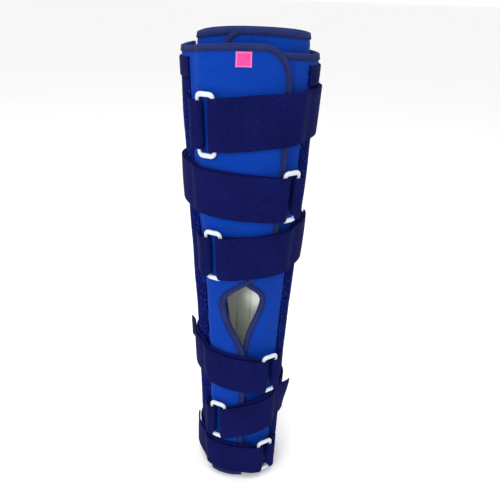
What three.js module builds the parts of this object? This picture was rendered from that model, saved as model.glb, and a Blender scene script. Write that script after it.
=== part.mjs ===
// Knee immobilizer: a padded leg sleeve of three wrapped panels that closes over the front of the leg with
// six wide straps, each pulled through a plastic loop and folded back on itself.
// Millimetres, +Z up. The front of the leg faces -Y, and +X is to the right as seen from the front.
// The origin is on the ground, under the middle of the whole part. The sleeve's own axis stands a little
// behind it, because the straps and their loops stand out in front.
// A place on the sleeve is given by an angle round the leg (0 at the front, positive to the right), a
// height, and an offset outwards from the outer face of the inner wrap.
import * as THREE from "three";

// Overall sizes of the sleeve
const wrapHeight = 600;
const topRadius = 70.4;
const depthShare = 0.94; // front to back, as a share of the width
// Radius of the sleeve at shares of its height, as a share of the top radius. swell is how far the section
// stands out halfway between its front and its sides: below 0 its flanks are flat, as the straps pull them.
const taper = [
  { height: 0.0, radius: 0.625, swell: 0 },
  { height: 0.15, radius: 0.653, swell: -0.02 },
  { height: 0.29, radius: 0.694, swell: -0.035 },
  { height: 0.42, radius: 0.745, swell: -0.03 },
  { height: 0.66, radius: 0.882, swell: 0 },
  { height: 0.94, radius: 0.993, swell: 0.03 },
  { height: 1.0, radius: 1.0, swell: 0.03 },
];

// Cloth and padding
const panelThickness = 3.6;
const panelSpacing = 3.6; // free space between one panel and the next, taken up by the bound edges
const leftPanelHeight = 584;
const rightPanelHeight = 577;
const panelBackAngle = 118; // where the side panels end behind the leg
const cornerHeight = 37; // rounded upper corner of each front edge
const cornerAngle = 21;
const liningThickness = 1.2;
const liningClearance = 1.2;
const liningMargin = 11;

// Bound edges
const bindingWidth = 6.8;
const bindingThickness = 0.7;
const bindingClearance = 0.8;
const bindingRise = bindingThickness + bindingClearance; // how far a bound edge stands above its panel
const restHeight = bindingRise; // lower edge of every panel, inside its binding

// Pile bands over the side stays, and the patches that close their ends
const bandThickness = 1.4;
const bandClearance = 0.6;
const bandFrontAngle = 54;
const bandBackAngle = 106;
const bandMargin = 11; // distance of the band from the upper and lower edge
const patchHeight = 22;
const patchThickness = 0.9;

// Straps, and the loops that they pass through
const webbingThickness = 2.2;
const layerClearance = 0.5;
const strapClearance = 0.8;
const loopWidth = 24;
const loopThickness = 3.2;
const loopSideBar = 4.4;
const loopEndBar = 6;
const loopCorner = 4.6;
const loopPlay = 1.6; // between the strap's edge and the loop's end bar
const foldClearance = 0.3;
const tabLength = 20;
const tabNarrowing = 4; // how much narrower the tab is than its strap
// One row for each strap, from the top down. side is the side of its loop, seen from the front (-1 left), and
// loopAngle and endAngle say where its loop and its free end lie. The lengths are shares of the wrap's height:
// middle is the height of its middle at the front, climb the rise towards the side away from the loop, lift
// how far the free end stands off, and kick how far that end points upwards.
const straps = [
  { side: -1, middle: 0.8425, width: 0.096, loopAngle: 30.5, climb: 0.013, endAngle: 104, lift: 0.002, kick: 0 },
  { side: 1, middle: 0.703, width: 0.09, loopAngle: 37, climb: 0.009, endAngle: 108, lift: 0.002, kick: 0 },
  { side: -1, middle: 0.578, width: 0.093, loopAngle: 27, climb: 0.009, endAngle: 104, lift: 0.003, kick: 0 },
  { side: 1, middle: 0.294, width: 0.084, loopAngle: 33, climb: 0.015, endAngle: 98, lift: 0.009, kick: 0.026 },
  { side: -1, middle: 0.168, width: 0.084, loopAngle: 26, climb: 0.022, endAngle: 84, lift: 0.008, kick: -0.006 },
  { side: 1, middle: 0.0565, width: 0.0745, loopAngle: 34, climb: 0.008, endAngle: 100, lift: 0.003, kick: 0 },
];
const anchorAngle = 164; // where a strap is fixed behind the leg, on the side away from its loop

// Bare label sewn on the left panel
const labelWidth = 15.2;
const labelHeight = 15.2;
const labelThickness = 0.8;
const labelAngle = -3.8;
const labelDrop = 7.4; // below the panel's upper edge

// Edges of the side panels at shares of the wrap's height, in degrees round the leg. They meet over the knee,
// where they bow apart and leave the kneecap free.
const sideEdges = [
  { height: 0.0, left: 3, right: -6 },
  { height: 0.217, left: 4, right: -6 },
  { height: 0.3, left: 6, right: -5 },
  { height: 0.332, left: 5, right: 1.5 },
  { height: 0.363, left: 0, right: 4 },
  { height: 0.384, left: -5, right: 6.5 },
  { height: 0.405, left: -11, right: 10 },
  { height: 0.437, left: -18, right: 18.5 },
  { height: 0.467, left: -20.5, right: 23.5 },
  { height: 0.487, left: -16.5, right: 19 },
  { height: 0.5, left: -8, right: 9 },
  { height: 0.511, left: 0, right: 1 },
  { height: 0.525, left: 10, right: -8 },
  { height: 0.55, left: 21, right: -18 },
  { height: 0.6, left: 29, right: -27 },
  { height: 0.68, left: 33, right: -32 },
  { height: 1.0, left: 31, right: -33 },
];
// Edges of the inner wrap's own two flaps, which stand a little further apart round the kneecap.
const innerEdges = [
  { height: 0.0, left: 8, right: -8 },
  { height: 0.17, left: 5, right: -5 },
  { height: 0.26, left: -3, right: 3 },
  { height: 0.33, left: -15, right: 15 },
  { height: 0.4, left: -25, right: 25 },
  { height: 0.465, left: -31, right: 31 },
  { height: 0.51, left: -27, right: 27 },
  { height: 0.55, left: -19, right: 19 },
  { height: 0.59, left: -8, right: 8 },
  { height: 0.635, left: 2, right: -3 },
  { height: 0.69, left: 12, right: -15 },
  { height: 0.76, left: 20, right: -26 },
  { height: 1.0, left: 20, right: -27 },
];

const radians = THREE.MathUtils.degToRad;
const degrees = THREE.MathUtils.radToDeg;
const mix = THREE.MathUtils.lerp;
const smooth = THREE.MathUtils.smoothstep;

// Reads one column of a table at a place between its rows.
function readTable(table, placeName, valueName, place) {
  const upper = Math.max(1, table.findIndex((row) => row[placeName] >= place));
  const next = place > table[table.length - 1][placeName] ? table.length - 1 : upper;
  const a = table[next - 1];
  const b = table[next];
  const share = (place - a[placeName]) / (b[placeName] - a[placeName]);
  return mix(a[valueName], b[valueName], THREE.MathUtils.clamp(share, 0, 1));
}

function sleeveRadius(height) {
  return topRadius * readTable(taper, "height", "radius", height / wrapHeight);
}

// The point at an angle and height, at an offset outwards from the outer face of the inner wrap.
function onSleeve(angle, height, offset) {
  const a = radians(angle);
  const swell = readTable(taper, "height", "swell", height / wrapHeight);
  const radius = sleeveRadius(height) * (1 + swell * Math.sin(2 * a) ** 2);
  return new THREE.Vector3(
    (radius + offset) * Math.sin(a),
    -(radius * depthShare + offset) * Math.cos(a),
    height,
  );
}

// Degrees round the leg that a length covers at a height.
function anglePer(length, height) {
  return degrees(length / (sleeveRadius(height) + panelThickness + panelSpacing));
}

function edgeOf(table, name, height) {
  return readTable(table, "height", name, height / wrapHeight);
}

// Turns lists of points and faces into a geometry whose faces point outwards.
function closedGeometry(points, faces) {
  let volume = 0;
  for (const [a, b, c] of faces) {
    volume += points[a].dot(new THREE.Vector3().crossVectors(points[b], points[c]));
  }
  const turned = volume < 0 ? faces.map(([a, b, c]) => [a, c, b]) : faces;
  return new THREE.BufferGeometry()
    .setAttribute("position", new THREE.Float32BufferAttribute(points.flatMap((p) => p.toArray()), 3))
    .setIndex(turned.flat());
}

// True when the first diagonal of four corners is the shorter one, along which the face then folds.
function shorterSplit(a, b, c, d) {
  return a.distanceTo(c) < b.distanceTo(d);
}

// A sheet of cloth: place(column, row, side) gives its points, with side 0 on the inner face and 1 on the
// outer face. Columns and rows are counted from 0 to the numbers given.
function sheetGeometry(columns, rows, place) {
  const points = [];
  const faces = [];
  const faceSize = (columns + 1) * (rows + 1);
  const index = (column, row, side) => side * faceSize + row * (columns + 1) + column;
  const quad = (a, b, c, d) => {
    const split = shorterSplit(points[a], points[b], points[c], points[d]);
    faces.push(...(split ? [[a, b, c], [a, c, d]] : [[a, b, d], [b, c, d]]));
  };
  for (const side of [0, 1]) {
    for (let row = 0; row <= rows; row++) {
      for (let column = 0; column <= columns; column++) points.push(place(column, row, side));
    }
  }
  for (let row = 0; row < rows; row++) {
    for (let column = 0; column < columns; column++) {
      const next = column + 1;
      quad(index(column, row, 1), index(next, row, 1), index(next, row + 1, 1), index(column, row + 1, 1));
      quad(index(column, row, 0), index(column, row + 1, 0), index(next, row + 1, 0), index(next, row, 0));
    }
    quad(index(0, row, 0), index(0, row, 1), index(0, row + 1, 1), index(0, row + 1, 0));
    quad(index(columns, row, 1), index(columns, row, 0), index(columns, row + 1, 0), index(columns, row + 1, 1));
  }
  for (let column = 0; column < columns; column++) {
    const next = column + 1;
    quad(index(column, 0, 0), index(next, 0, 0), index(next, 0, 1), index(column, 0, 1));
    quad(index(column, rows, 1), index(next, rows, 1), index(next, rows, 0), index(column, rows, 0));
  }
  return closedGeometry(points, faces);
}

// A closed ring of equal sections, such as a bound edge or a loop.
function ringGeometry(sections) {
  const size = sections[0].length;
  const faces = [];
  sections.forEach((_, at) => {
    const next = (at + 1) % sections.length;
    for (let i = 0; i < size; i++) {
      const j = (i + 1) % size;
      const [a, b, c, d] = [at * size + i, at * size + j, next * size + j, next * size + i];
      faces.push([a, b, c], [a, c, d]);
    }
  });
  return closedGeometry(sections.flat(), faces);
}

function material(color, roughness) {
  return new THREE.MeshStandardMaterial({ color, roughness, metalness: 0 });
}
const materials = {
  blueCloth: material(0x0a3fae, 0.85),
  greyLining: material(0x9da19a, 0.9),
  binding: material(0x2b3468, 0.8),
  pile: material(0x08107a, 0.95),
  webbing: material(0x1b2260, 0.85),
  whitePlastic: material(0xf0f3f4, 0.35),
  pinkLabel: material(0xee5fa8, 0.7),
};

const assembly = new THREE.Group();
function add(name, geometry, surface) {
  const mesh = new THREE.Mesh(geometry, surface);
  mesh.name = name;
  assembly.add(mesh);
}

// Heights of the rows of a panel: the rows of its table of edges, then the rounded upper corner.
const cornerSteps = 4;
function panelRows(edges, panelHeight) {
  const cornerFoot = panelHeight - cornerHeight;
  const rows = edges.map((row) => row.height * wrapHeight).filter((height) => height < cornerFoot - 5);
  rows[0] = restHeight;
  for (let step = 0; step <= cornerSteps; step++) {
    rows.push(cornerFoot + cornerHeight * Math.sin((step / cornerSteps) * (Math.PI / 2)));
  }
  return rows;
}

// How far the rounded corner pulls a front edge back, in degrees.
function cornerPull(height, panelHeight) {
  const share = THREE.MathUtils.clamp((height - panelHeight + cornerHeight) / cornerHeight, 0, 1);
  return cornerAngle * (1 - Math.sqrt(1 - share * share));
}

// Evenly spaced values from one to another, without the first.
function spaced(from, to, count) {
  return Array.from({ length: count }, (_, i) => mix(from, to, (i + 1) / count));
}
function ramp(value, from, to) {
  return THREE.MathUtils.clamp((value - from) / (to - from), 0, 1);
}

// A panel is described by its rows, the angles of its columns at a height, and the offset of its inner face.
// The left panel lies on the inner wrap at the side and climbs over the right panel at the front.
const climbFrom = -48;
const climbTo = -37.5;
const leftPanel = {
  rows: panelRows(sideEdges, leftPanelHeight),
  angles: (height) => {
    const edge = edgeOf(sideEdges, "left", height) - cornerPull(height, leftPanelHeight);
    return [-panelBackAngle, ...spaced(-panelBackAngle, climbFrom, 6), climbTo, ...spaced(climbTo, edge, 6)];
  },
  offset: (angle) => panelSpacing + (panelThickness + panelSpacing) * ramp(angle, climbFrom, climbTo),
};
const rightPanel = {
  rows: panelRows(sideEdges, rightPanelHeight),
  angles: (height) => {
    const edge = edgeOf(sideEdges, "right", height) + cornerPull(height, rightPanelHeight);
    return [edge, ...spaced(edge, panelBackAngle, 13)];
  },
  offset: () => panelSpacing,
};

// The inner wrap starts at its right flap in front, runs behind the leg and ends with its left flap, which
// lies inside the right one. Its upper end stands free of the side panels, more on the left.
const sinkFrom = 294;
const sinkTo = 326;
const freeTopFrom = 440;
const freeTopLeft = 11;
const freeTopRight = 4;
const innerHeight = wrapHeight - bindingRise;
function innerOffset(angle, height) {
  const sink = (panelThickness + panelSpacing) * ramp(angle, sinkFrom, sinkTo);
  const sideways = Math.sin(radians(angle));
  const free = sideways < 0 ? freeTopLeft : freeTopRight;
  const top = smooth(height, freeTopFrom, wrapHeight);
  return -panelThickness - sink - free * sideways * sideways * top;
}
const innerWrap = {
  rows: panelRows(innerEdges, innerHeight),
  angles: (height) => {
    const first = edgeOf(innerEdges, "right", height) + cornerPull(height, innerHeight);
    const last = 360 + edgeOf(innerEdges, "left", height);
    return [first, ...spaced(first, sinkFrom, 23), ...spaced(sinkFrom, sinkTo, 3), ...spaced(sinkTo, last, 4)];
  },
  offset: innerOffset,
};

function panelGeometry(panel, thickness) {
  const angles = panel.rows.map((height) => panel.angles(height));
  return sheetGeometry(angles[0].length - 1, panel.rows.length - 1, (column, row, side) => {
    const height = panel.rows[row];
    const angle = angles[row][column];
    return onSleeve(angle, height, panel.offset(angle, height) + side * thickness);
  });
}

// The point at an angle and height that follows the straight rows of a panel, carried on beyond its edges.
function onPanel(panel, angle, height, offset) {
  const rows = panel.rows;
  const found = rows.findIndex((row) => row >= height);
  const row = found < 0 ? rows.length - 1 : Math.max(1, found);
  const rise = (height - rows[row - 1]) / (rows[row] - rows[row - 1]);
  const at = (level) => onSleeve(angle, level, panel.offset(angle, level) + offset);
  return at(rows[row - 1]).lerp(at(rows[row]), rise);
}

// The edge of a panel as a closed list of places: along the lower edge, up the last edge, back along the top
// and down the first edge.
function panelOutline(panel) {
  const corners = panel.rows.map((height) => {
    const angles = panel.angles(height);
    return { height, angles, first: angles[0], last: angles[angles.length - 1] };
  });
  const bottom = corners[0];
  const top = corners[corners.length - 1];
  return [
    ...bottom.angles.slice(0, -1).map((angle) => ({ angle, height: bottom.height })),
    ...corners.slice(0, -1).map((row) => ({ angle: row.last, height: row.height })),
    ...top.angles.slice(1).reverse().map((angle) => ({ angle, height: top.height })),
    ...corners.slice(1).reverse().map((row) => ({ angle: row.first, height: row.height })),
  ];
}

// A tape folded round the edge of a panel. Its section is a U whose legs lie on both faces.
function bindingGeometry(panel) {
  const outline = panelOutline(panel);
  const count = outline.length;
  const outside = -bindingRise;
  const inside = -bindingClearance;
  const outer = panelThickness + bindingRise;
  const outerFace = panelThickness + bindingClearance;
  const section = [
    [bindingWidth, outer], [outside, outer], [outside, -bindingRise], [bindingWidth, -bindingRise],
    [bindingWidth, -bindingClearance], [inside, -bindingClearance], [inside, outerFace], [bindingWidth, outerFace],
  ];
  const sections = outline.map((here, at) => {
    const before = outline[(at + count - 1) % count];
    const after = outline[(at + 1) % count];
    const perDegree = 1 / anglePer(1, here.height);
    const direction = (a, b) =>
      new THREE.Vector2((b.angle - a.angle) * perDegree, b.height - a.height).normalize();
    const arriving = direction(before, here);
    const leaving = direction(here, after);
    // The outline runs anticlockwise as seen from outside, so the cloth lies to its left.
    const inward = new THREE.Vector2(-arriving.y - leaving.y, arriving.x + leaving.x).normalize();
    const mitre = 1 / Math.max(0.55, inward.dot(new THREE.Vector2(-leaving.y, leaving.x)));
    return section.map(([depth, offset]) => {
      const angle = here.angle + (inward.x * depth * mitre) / perDegree;
      const height = here.height + inward.y * depth * mitre;
      return onPanel(panel, angle, height, offset);
    });
  });
  return ringGeometry(sections);
}

add("inner_wrap", panelGeometry(innerWrap, panelThickness), materials.blueCloth);
add("inner_binding", bindingGeometry(innerWrap), materials.binding);
add("left_panel", panelGeometry(leftPanel, panelThickness), materials.blueCloth);
add("left_binding", bindingGeometry(leftPanel), materials.binding);
add("right_panel", panelGeometry(rightPanel, panelThickness), materials.blueCloth);
add("right_binding", bindingGeometry(rightPanel), materials.binding);

// The lining lies inside the inner wrap and stops short of its bound edges.
function innermostEdge(name, side, height) {
  const near = [-liningMargin, 0, liningMargin].map((step) => side * edgeOf(innerEdges, name, height + step));
  return Math.max(...near);
}
const lining = {
  rows: [
    liningMargin,
    ...innerEdges.slice(1, -1).map((row) => row.height * wrapHeight),
    wrapHeight - cornerHeight,
    wrapHeight - liningMargin,
  ],
  angles: (height) => {
    const start = Math.max(innermostEdge("right", 1, height), edgeOf(innerEdges, "left", height));
    const first = start + liningMargin + 2;
    const last = 360 - innermostEdge("left", -1, height) - liningMargin - 2;
    const sunk = Math.min(sinkTo, last - 2);
    return [first, ...spaced(first, sinkFrom, 17), ...spaced(sinkFrom, sunk, 3), ...spaced(sunk, last, 2)];
  },
  offset: (angle, height) => innerOffset(angle, height) - liningClearance - liningThickness,
};
add("lining", panelGeometry(lining, liningThickness), materials.greyLining);

// Pile bands on the outer face of the side panels, and the patches over their ends.
const sideFace = panelSpacing + panelThickness;
function stripGeometry(side, fromAngle, toAngle, heights, offset, thickness, columns) {
  return sheetGeometry(columns, heights.length - 1, (column, row, face) => {
    const angle = side * mix(fromAngle, toAngle, column / columns);
    return onSleeve(angle, heights[row], offset + face * thickness);
  });
}
const sidePanels = [
  { name: "left", side: -1, height: leftPanelHeight },
  { name: "right", side: 1, height: rightPanelHeight },
];
for (const { name, side, height } of sidePanels) {
  const bottom = restHeight + bandMargin;
  const top = height - bandMargin;
  const rows = [bottom, ...taper.slice(1, -2).map((row) => row.height * wrapHeight), top];
  const bandFace = sideFace + bandClearance;
  const patchFace = bandFace + bandThickness + bandClearance;
  add(
    name + "_band",
    stripGeometry(side, bandFrontAngle, bandBackAngle, rows, bandFace, bandThickness, 7),
    materials.pile,
  );
  const patchRows = [top - patchHeight, top];
  add(
    name + "_patch",
    stripGeometry(side, bandFrontAngle, bandBackAngle, patchRows, patchFace, patchThickness, 7),
    materials.webbing,
  );
}

// How far out a strap has to lie to clear what is under it, round the leg from the front. overlap is the
// side where the left panel lies over the right one.
const overSide = sideFace + bandClearance + bandThickness + strapClearance;
const overFront = 2 * sideFace + bindingRise + strapClearance;
const overBack = bindingRise + strapClearance;
const strapSeats = [
  { angle: -182, offset: overBack },
  { angle: -138, offset: overBack },
  { angle: -124, offset: overSide },
  { angle: -52, offset: overSide },
  { angle: -42, offset: overFront },
  { angle: 41, offset: overFront },
  { angle: 52, offset: overSide },
  { angle: 124, offset: overSide },
  { angle: 138, offset: overBack },
  { angle: 182, offset: overBack },
];
function strapSeat(angle) {
  return readTable(strapSeats, "angle", "offset", angle);
}

// A folded band of webbing. Its path lists places with an angle, an offset of the middle of the webbing, a
// rise and a half width. The thickness is laid off square to the path.
function webbingGeometry(path, middle) {
  const arm = sleeveRadius(middle) + overSide;
  const flat = path.map((place) => new THREE.Vector2(radians(place.angle) * arm, place.offset));
  const sides = flat.map((point, at) => {
    const before = flat[Math.max(0, at - 1)];
    const after = flat[Math.min(flat.length - 1, at + 1)];
    const along = after.clone().sub(before).normalize();
    return new THREE.Vector2(-along.y, along.x).multiplyScalar(webbingThickness / 2);
  });
  return sheetGeometry(path.length - 1, 1, (at, row, face) => {
    const place = path[at];
    const shift = sides[at].clone().multiplyScalar(face ? 1 : -1);
    const angle = place.angle + degrees(shift.x / arm);
    const height = middle + place.rise + (row ? 1 : -1) * place.halfWidth;
    return onSleeve(angle, height, place.offset + shift.y);
  });
}

const foldSteps = 4;
const foldRadius = (webbingThickness + loopThickness + 2 * foldClearance) / 2 + 0.2;
const foldOverhang = 0.7; // how far the middle of a fold lies beyond the middle of its bar
const pathStep = 12;

straps.forEach((strap, number) => {
  const label = String(number + 1);
  const middle = strap.middle * wrapHeight;
  const arm = sleeveRadius(middle) + overFront;
  const toAngle = (length) => degrees(length / arm);
  // Angles below are counted away from the loop: the loop lies at -loopAngle and the strap runs upwards.
  const place = (angle, offset, rise, halfWidth) => ({ angle: -strap.side * angle, offset, rise, halfWidth });
  const seat = (angle) => strapSeat(-strap.side * angle) + webbingThickness / 2;
  const rise = (angle) => strap.climb * wrapHeight * Math.sin(radians(angle));
  const halfLoop = toAngle((loopWidth - loopSideBar) / 2);
  const loopAt = -strap.loopAngle;
  const loopSeat = Math.max(seat(loopAt), seat(loopAt + halfLoop), seat(loopAt - halfLoop));
  const halfWidth = (strap.width * wrapHeight) / 2;

  // The strap: anchored behind the leg, laid round to the loop, folded round its bar and laid back.
  const barAngle = loopAt + halfLoop;
  const lower = [];
  for (let angle = anchorAngle; angle > barAngle + 6; angle -= pathStep) {
    lower.push(place(angle, seat(angle), rise(angle), halfWidth));
  }
  const fold = [];
  for (let step = 0; step <= foldSteps; step++) {
    const turn = (step / foldSteps) * Math.PI;
    const angle = barAngle - toAngle(foldOverhang + foldRadius * Math.sin(turn));
    fold.push(place(angle, loopSeat + foldRadius * (1 - Math.cos(turn)), rise(loopAt), halfWidth));
  }
  const pastBar = barAngle + toAngle(loopSideBar / 2);
  const upper = [place(pastBar, loopSeat + 2 * foldRadius, rise(loopAt), halfWidth)];
  const layer = webbingThickness + layerClearance;
  const fullLength = strap.endAngle - barAngle;
  const settleShare = 0.2; // the share of the return layer in which it comes down from the bar
  const laidBack = lower.map((under) => -strap.side * under.angle).filter((angle) => angle < strap.endAngle - 4);
  for (const angle of [...laidBack.reverse(), strap.endAngle]) {
    const share = (angle - barAngle) / fullLength;
    const settle = smooth(share, 0, settleShare);
    const tip = smooth(share, 0.72, 1) ** 2;
    const above = Math.max(seat(angle), mix(loopSeat, seat(angle), settle));
    const offset = above + mix(2 * foldRadius, layer, settle) + strap.lift * wrapHeight * tip;
    upper.push(place(angle, offset, rise(angle) + strap.kick * wrapHeight * tip, halfWidth));
  }
  add("strap_" + label, webbingGeometry([...lower, ...fold, ...upper], middle), materials.webbing);

  // The tab holds the loop's other bar and is fixed on the side panel.
  const tabBar = loopAt - halfLoop;
  const tabEnd = tabBar - toAngle(tabLength);
  const tabHalf = halfWidth - tabNarrowing / 2;
  const tabPath = [];
  const tabSteps = 3;
  for (let step = 0; step < tabSteps; step++) {
    const angle = mix(tabEnd, tabBar, step / tabSteps);
    tabPath.push(place(angle, seat(angle), rise(loopAt), tabHalf));
  }
  for (let step = 0; step <= foldSteps; step++) {
    const turn = (step / foldSteps) * Math.PI;
    const angle = tabBar + toAngle(foldOverhang + foldRadius * Math.sin(turn));
    tabPath.push(place(angle, loopSeat + foldRadius * (1 - Math.cos(turn)), rise(loopAt), tabHalf));
  }
  tabPath.push(place(tabBar - toAngle(loopSideBar / 2), loopSeat + 2 * foldRadius, rise(loopAt), tabHalf));
  for (let step = tabSteps - 1; step >= 0; step--) {
    const share = step / tabSteps;
    const angle = mix(tabEnd, tabBar, share);
    const settle = smooth(1 - share, 0, 0.9);
    const offset = mix(loopSeat, seat(angle), settle) + mix(2 * foldRadius, layer, settle);
    tabPath.push(place(angle, offset, rise(loopAt), tabHalf));
  }
  add("tab_" + label, webbingGeometry(tabPath, middle), materials.webbing);

  // The loop: a flat rectangular ring with rounded ends that follows the sleeve.
  const halfSpan = (loopWidth - loopSideBar) / 2;
  const halfTall = halfWidth + loopPlay + loopEndBar / 2;
  const bend = 2;
  const outline = [];
  for (const [cornerX, cornerZ, start] of [[1, 1, 0], [-1, 1, 90], [-1, -1, 180], [1, -1, 270]]) {
    for (let step = 0; step <= bend; step++) {
      const turn = radians(start + (90 * step) / bend);
      outline.push({
        across: cornerX * (halfSpan - loopCorner) + loopCorner * Math.cos(turn),
        up: cornerZ * (halfTall - loopCorner) + loopCorner * Math.sin(turn),
        end: Math.abs(Math.sin(turn)),
      });
    }
  }
  const ring = outline.map((here, at) => {
    const before = outline[(at + outline.length - 1) % outline.length];
    const after = outline[(at + 1) % outline.length];
    const outward = new THREE.Vector2(after.up - before.up, before.across - after.across).normalize();
    const halfBar = mix(loopSideBar, loopEndBar, here.end) / 2;
    const chamfer = 0.9;
    const half = loopThickness / 2;
    const section = [
      [halfBar, half - chamfer], [halfBar - chamfer, half], [chamfer - halfBar, half], [-halfBar, half - chamfer],
      [-halfBar, chamfer - half], [chamfer - halfBar, -half], [halfBar - chamfer, -half], [halfBar, chamfer - half],
    ];
    return section.map(([away, lift]) => {
      const angle = loopAt + toAngle(here.across + outward.x * away);
      const height = middle + rise(loopAt) + here.up + outward.y * away;
      return onSleeve(-strap.side * angle, height, loopSeat + foldRadius + lift);
    });
  });
  add("loop_" + label, ringGeometry(ring), materials.whitePlastic);
});

// The bare label lies on the left panel below its bound edge.
const labelTop = leftPanelHeight - labelDrop;
const labelHalf = anglePer(labelWidth / 2, labelTop);
const labelFace = 2 * sideFace + bandClearance;
add(
  "label",
  stripGeometry(
    1,
    labelAngle - labelHalf,
    labelAngle + labelHalf,
    [labelTop - labelHeight, labelTop],
    labelFace,
    labelThickness,
    2,
  ),
  materials.pinkLabel,
);

// The origin is put under the middle of the whole part.
const bounds = new THREE.Box3().setFromObject(assembly);
const centre = bounds.getCenter(new THREE.Vector3());
for (const mesh of assembly.children) mesh.position.set(-centre.x, -centre.y, -bounds.min.z);

export default assembly;
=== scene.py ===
"""Knee immobilizer: three padded cloth panels wrapped round the leg and closed with six straps.

Places on the sleeve are given by an angle round the leg in degrees (0 at the front, positive to
the right), a height, and an offset outwards from the outer face of the inner wrap. Lengths are in
metres.
"""
import math

import bpy
import numpy as np
from mathutils import Matrix, Vector


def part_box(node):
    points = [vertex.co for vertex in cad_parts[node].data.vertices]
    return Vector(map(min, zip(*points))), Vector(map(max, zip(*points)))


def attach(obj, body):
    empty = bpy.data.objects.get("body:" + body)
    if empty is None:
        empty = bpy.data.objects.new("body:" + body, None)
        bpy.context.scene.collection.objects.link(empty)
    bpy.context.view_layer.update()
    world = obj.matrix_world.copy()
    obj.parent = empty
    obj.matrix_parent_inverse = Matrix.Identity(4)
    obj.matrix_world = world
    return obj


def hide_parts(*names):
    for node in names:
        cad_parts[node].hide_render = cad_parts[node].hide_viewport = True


bl_info = {
    "name": "Knee Immobilizer",
    "version": (1, 0, 0),
    "blender": (4, 5, 0),
    "location": "3D View > Sidebar > Immobilizer",
    "description": "Dresses the packed knee immobilizer with cloth, tape, webbing and plastic",
    "category": "Object",
}

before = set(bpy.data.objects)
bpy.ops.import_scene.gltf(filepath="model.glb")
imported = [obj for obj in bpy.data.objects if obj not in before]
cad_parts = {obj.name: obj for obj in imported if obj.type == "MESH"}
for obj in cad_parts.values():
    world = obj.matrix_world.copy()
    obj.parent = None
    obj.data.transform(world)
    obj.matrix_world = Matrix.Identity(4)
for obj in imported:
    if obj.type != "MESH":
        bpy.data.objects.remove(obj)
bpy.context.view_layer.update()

MM = 0.001
HEIGHT = 600 * MM
TOP_RADIUS = 70.4 * MM
DEPTH_SHARE = 0.94
DENT_DEPTH = 0.5 * MM  # soft dents in the whole sleeve, which everything on it follows
DENT_SIZE = 95 * MM
DENT_RADIUS = 70 * MM  # of the round that their pattern is taken on, so that it closes behind
BACK_DIP = 3 * MM  # how far the sleeve's upper edge dips at the back
FRONT_RISE = 1.8 * MM  # how far it rises at the front
SIDE_DIPS = (7 * MM, 5 * MM)  # and how far it dips at its left and right side
DIP_FOOT = 0.72 * HEIGHT  # where the dips begin
SECTION_BLUR = 0.04
TAPER = {
    "height": (0.0, 0.15, 0.29, 0.42, 0.66, 0.94, 1.0),
    "radius": (0.625, 0.653, 0.694, 0.745, 0.882, 0.993, 1.0),
    "swell": (0, -0.02, -0.035, -0.03, 0, 0.03, 0.03),
}

# Cloth and padding
PANEL_THICKNESS = 3.6 * MM
PANEL_SPACING = 3.6 * MM
LEFT_HEIGHT = 584 * MM
RIGHT_HEIGHT = 577 * MM
BACK_ANGLE = 118
CORNER_HEIGHT = 37 * MM
CORNER_ANGLE = 21
FRONT_OVERLAP = (-49, -36.5)  # degrees over which the left panel rises over the right one
INNER_OVERLAP = (292, 328)  # and over which one edge of the inner wrap sinks under the other
MOUTH_LEANS = (11 * MM, 4 * MM)  # how far the wrap leans in at its mouth, to the left and right
MOUTH_FOOT = 440 * MM
LINING_THICKNESS = 0.8 * MM
LINING_CLEARANCE = 1.2 * MM
LINING_MARGIN = 11 * MM
LINING_INSET = 12.5  # degrees between its upright edges and the wrap's
LINING_SEAMS = (168, 192)
LINING_SEAM_DEPTH = 0.9 * MM
LINING_SWELL = 0.35 * MM

# Their softness
GATHER = 0.22 * MM  # small puckers that the stitches draw beside a bound edge
GATHER_SIZE = 9 * MM
GATHER_PLACE = 12 * MM
PRESS = 0.5 * MM  # how far the straps press the padding in
PRESS_SPREAD = 7 * MM
WRINKLE_SIZE = 46 * MM

# Bound edges
TAPE_WIDTH = 6.0 * MM
TAPE_THICKNESS = 0.9 * MM
TAPE_CLEARANCE = 0.35 * MM
TAPE_RISE = TAPE_THICKNESS + TAPE_CLEARANCE
TAPE_GROOVE = 0.76  # where its stitches draw it in, as a share of its width
TAPE_STITCHES = 0.5 * MM + (1 - TAPE_GROOVE) * TAPE_WIDTH  # the same place on the tape's weave map
REST_HEIGHT = 1.5 * MM

# Pile bands over the side stays, and the patches that close their ends
BAND_FRONT = 54
BAND_BACK = 106
LEFT_BAND_WIDENING = 6  # degrees by which the left band is wider from the knee down
BAND_WIDENS = (0.72 * HEIGHT, 0.5 * HEIGHT)
BAND_MARGIN = 11 * MM
BAND_FOOT = 1.3 * MM
RIM_SHARE = 0.35  # a strip's thickness at its round rim, as a share of the whole
BAND_THICKNESS = 1.4 * MM
BAND_CLEARANCE = 0.5 * MM
BAND_SEAM = 3 * MM  # its row of stitches, in from its rim
BAND_SEAM_DEPTH = 0.45 * MM
TUFT_SIZES = (3.1 * MM, 6.4 * MM)
TUFT_HEIGHT = 0.16 * MM
PATCH_HEIGHT = 22 * MM
PATCH_THICKNESS = 0.9 * MM
PATCH_SEAM = 2.6 * MM
PATCH_SEAM_DEPTH = 0.2 * MM
PATCH_CLEARANCE = 0.6 * MM

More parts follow.
